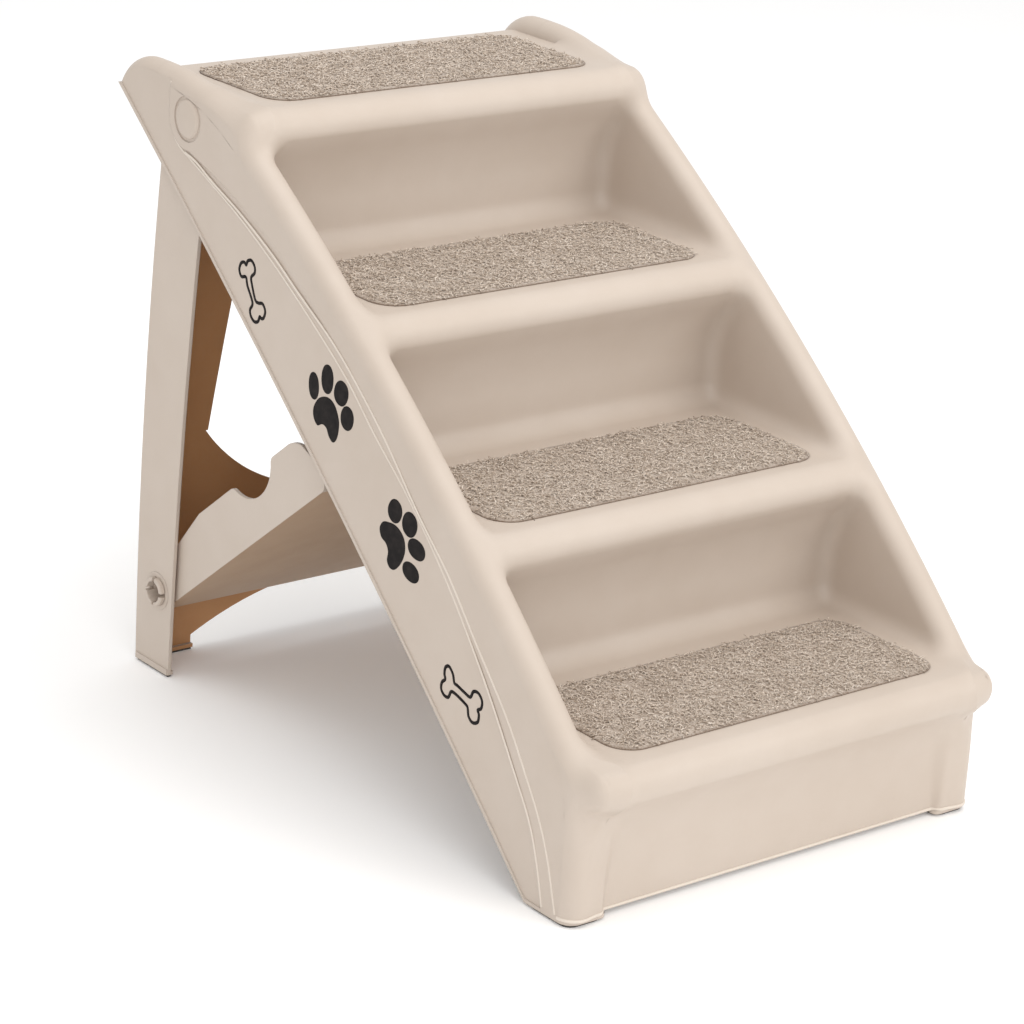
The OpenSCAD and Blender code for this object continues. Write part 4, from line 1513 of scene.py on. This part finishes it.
@dataclass
class Studio:
    """Pale floor, soft lights and the camera at the photograph's angle."""

    eye: Triple = (-1.65769, -1.94960, 1.10953)
    yaw: float = 0.694907
    pitch: float = 0.348599
    roll: float = 0.067185
    focal_px: float = 3543.095
    image_px: float = 1024.0
    sensor: float = 36.0
    aim: Triple = (0.0, 0.0, 0.2)
    lamps: tuple[Lamp, ...] = (
        Lamp("soft_top", (0.1, -0.5, 3.2), 3.2, 54.0, (1.0, 0.99, 0.98)),
        Lamp("soft_front", (1.6, -3.0, 1.7), 2.2, 32.0, (1.0, 0.99, 0.97)),
        Lamp("soft_camera", (-2.4, -2.9, 1.3), 2.5, 25.0, (1.0, 0.99, 0.98)),
    )
    floor_size: float = 9.0
    floor_flat: float = 5.0
    floor_curve: float = 0.06
    surround: Colour = (1.0, 0.997, 0.992)
    surround_strength: float = 0.80

    def camera(self) -> None:
        """Adds the camera."""
        cy, sy = math.cos(self.yaw), math.sin(self.yaw)
        cp, sp = math.cos(self.pitch), math.sin(self.pitch)
        ahead = Vector((sy * cp, cy * cp, -sp))
        across = Vector((cy, -sy, 0.0))
        up = across.cross(ahead)
        c, s = math.cos(self.roll), math.sin(self.roll)
        right, top = across * c + up * s, up * c - across * s
        data = bpy.data.cameras.new("photo_camera")
        data.sensor_width = self.sensor
        data.lens = self.focal_px / self.image_px * self.sensor
        data.clip_end = 100.0
        cam = bpy.data.objects.new("photo_camera", data)
        bpy.context.scene.collection.objects.link(cam)
        turn = Matrix((right, top, -ahead)).transposed()
        cam.matrix_world = Matrix.Translation(Vector(self.eye)) @ turn.to_4x4()
        bpy.context.scene.camera = cam

    def light(self, lamp: Lamp) -> None:
        """Adds a lamp that faces the stairs."""
        data = bpy.data.lights.new(lamp.name, "AREA")
        data.shape = "SQUARE"
        data.size = lamp.size
        data.energy = lamp.power
        data.color = lamp.tint
        made = bpy.data.objects.new(lamp.name, data)
        bpy.context.scene.collection.objects.link(made)
        made.location = lamp.at
        made.rotation_mode = "QUATERNION"
        made.rotation_quaternion = (Vector(self.aim) - Vector(lamp.at)).to_track_quat("-Z", "Y")

    def floor(self, finish: bpy.types.Material) -> None:
        """Adds the floor, with a slight curve up at its far ends."""
        bm = bmesh.new()
        bmesh.ops.create_grid(bm, x_segments=24, y_segments=24, size=self.floor_size)
        for vert in bm.verts:
            away = max(0.0, math.hypot(vert.co.x, vert.co.y) - self.floor_flat)
            vert.co.z = self.floor_curve * away * away
        for face in bm.faces:
            face.smooth = True
        mesh = bpy.data.meshes.new("studio_floor")
        bm.to_mesh(mesh)
        bm.free()
        add_object("studio_floor", mesh, finish)

    def world(self) -> None:
        """Sets a plain white surround."""
        world = bpy.data.worlds.new("studio")
        world.use_nodes = True
        back = world.node_tree.nodes["Background"]
        back.inputs[0].default_value = (*self.surround, 1.0)
        back.inputs[1].default_value = self.surround_strength
        bpy.context.scene.world = world
        bpy.context.scene.view_settings.view_transform = "Standard"

    def build(self) -> None:
        """Builds the whole studio."""
        self.camera()
        self.world()
        self.floor(StudioPaper("studio_paper").build())
        for lamp in self.lamps:
            self.light(lamp)


# ---- the whole object --------------------------------------------------------------------------------------


@dataclass
class PetStairs:
    """The whole object: its finishes and its sub-assemblies in building order."""

    pieces: list[bpy.types.Object] = field(default_factory=list)
    # Painted highlight: a lighter copy of the cream for the beads, standing in for the light their thin rounded
    # edges catch.
    painted_highlight_tones: tuple[Colour, Colour] = ((0.700, 0.625, 0.545), (0.675, 0.595, 0.515))
    # Painted shade: darker, browner copies of the cream for the leg frame's channel, standing in for shade and
    # warm bounce light there.
    painted_shade_inner_tones: tuple[Colour, Colour] = ((0.520, 0.275, 0.125), (0.470, 0.235, 0.100))
    # Painted shade: a darker copy of the cream for the underside of the brace.
    painted_shade_under_tones: tuple[Colour, Colour] = ((0.400, 0.265, 0.165), (0.360, 0.235, 0.140))

    def dress_feet(self, rubber: bpy.types.Material) -> None:
        """Gives the four foot pads their rubber."""
        for node in ("front_foot_left", "front_foot_right", "rear_foot_left", "rear_foot_right"):
            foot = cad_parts[node]
            foot.data.materials.clear()
            foot.data.materials.append(rubber)

    def mouldings(
        self, plastic: bpy.types.Material, inner: bpy.types.Material, under: bpy.types.Material
    ) -> Iterator[Moulding]:
        """The moulded parts, from the shell to the small pins."""
        yield StairShell("stair_shell", Body.SHELL, plastic)
        yield PivotCap("pivot_cap_left", Body.SHELL, plastic)
        yield PivotCap("pivot_cap_right", Body.SHELL, plastic)
        # The leg frame's channel and the brace's underside get the painted-shade finishes.
        yield LegFrame("rear_leg_frame", Body.LEG, plastic, painted_shade_finish=inner)
        yield BracePanel("brace_panel", Body.BRACE, plastic, painted_shade_finish=under)
        yield Moulding("lower_pin_left", Body.BRACE, plastic)
        yield Moulding("lower_pin_right", Body.BRACE, plastic)

    def build(self) -> None:
        """Builds and dresses every piece."""
        plastic = MouldedPlastic("cream_moulding").build()
        # pale: the painted-highlight cream of the beads
        pale = MouldedPlastic("cream_painted_highlight", *self.painted_highlight_tones).build()
        # inner: the painted-shade cream of the leg frame's channel
        inner = MouldedPlastic("cream_painted_shade_inside", *self.painted_shade_inner_tones).build()
        # under: the painted-shade cream of the brace's underside
        under = MouldedPlastic("cream_painted_shade_under", *self.painted_shade_under_tones).build()
        for part in self.mouldings(plastic, inner, under):
            self.pieces.append(part.build())
            if isinstance(part, StairShell):
                self.pieces += Beads(pale, part.skin.foot_line).build()
        self.pieces += CarpetPads(CarpetPile("carpet_pile").build()).build()
        self.pieces += PrintedFigures(PrintInk("print_ink").build()).build()
        self.dress_feet(PadRubber("pad_rubber").build())


def main() -> None:
    """Builds the stairs and the studio."""
    logging.basicConfig(level=logging.INFO, format="%(message)s")
    PetStairs().build()
    Studio().build()


if __name__ == "__main__":
    main()
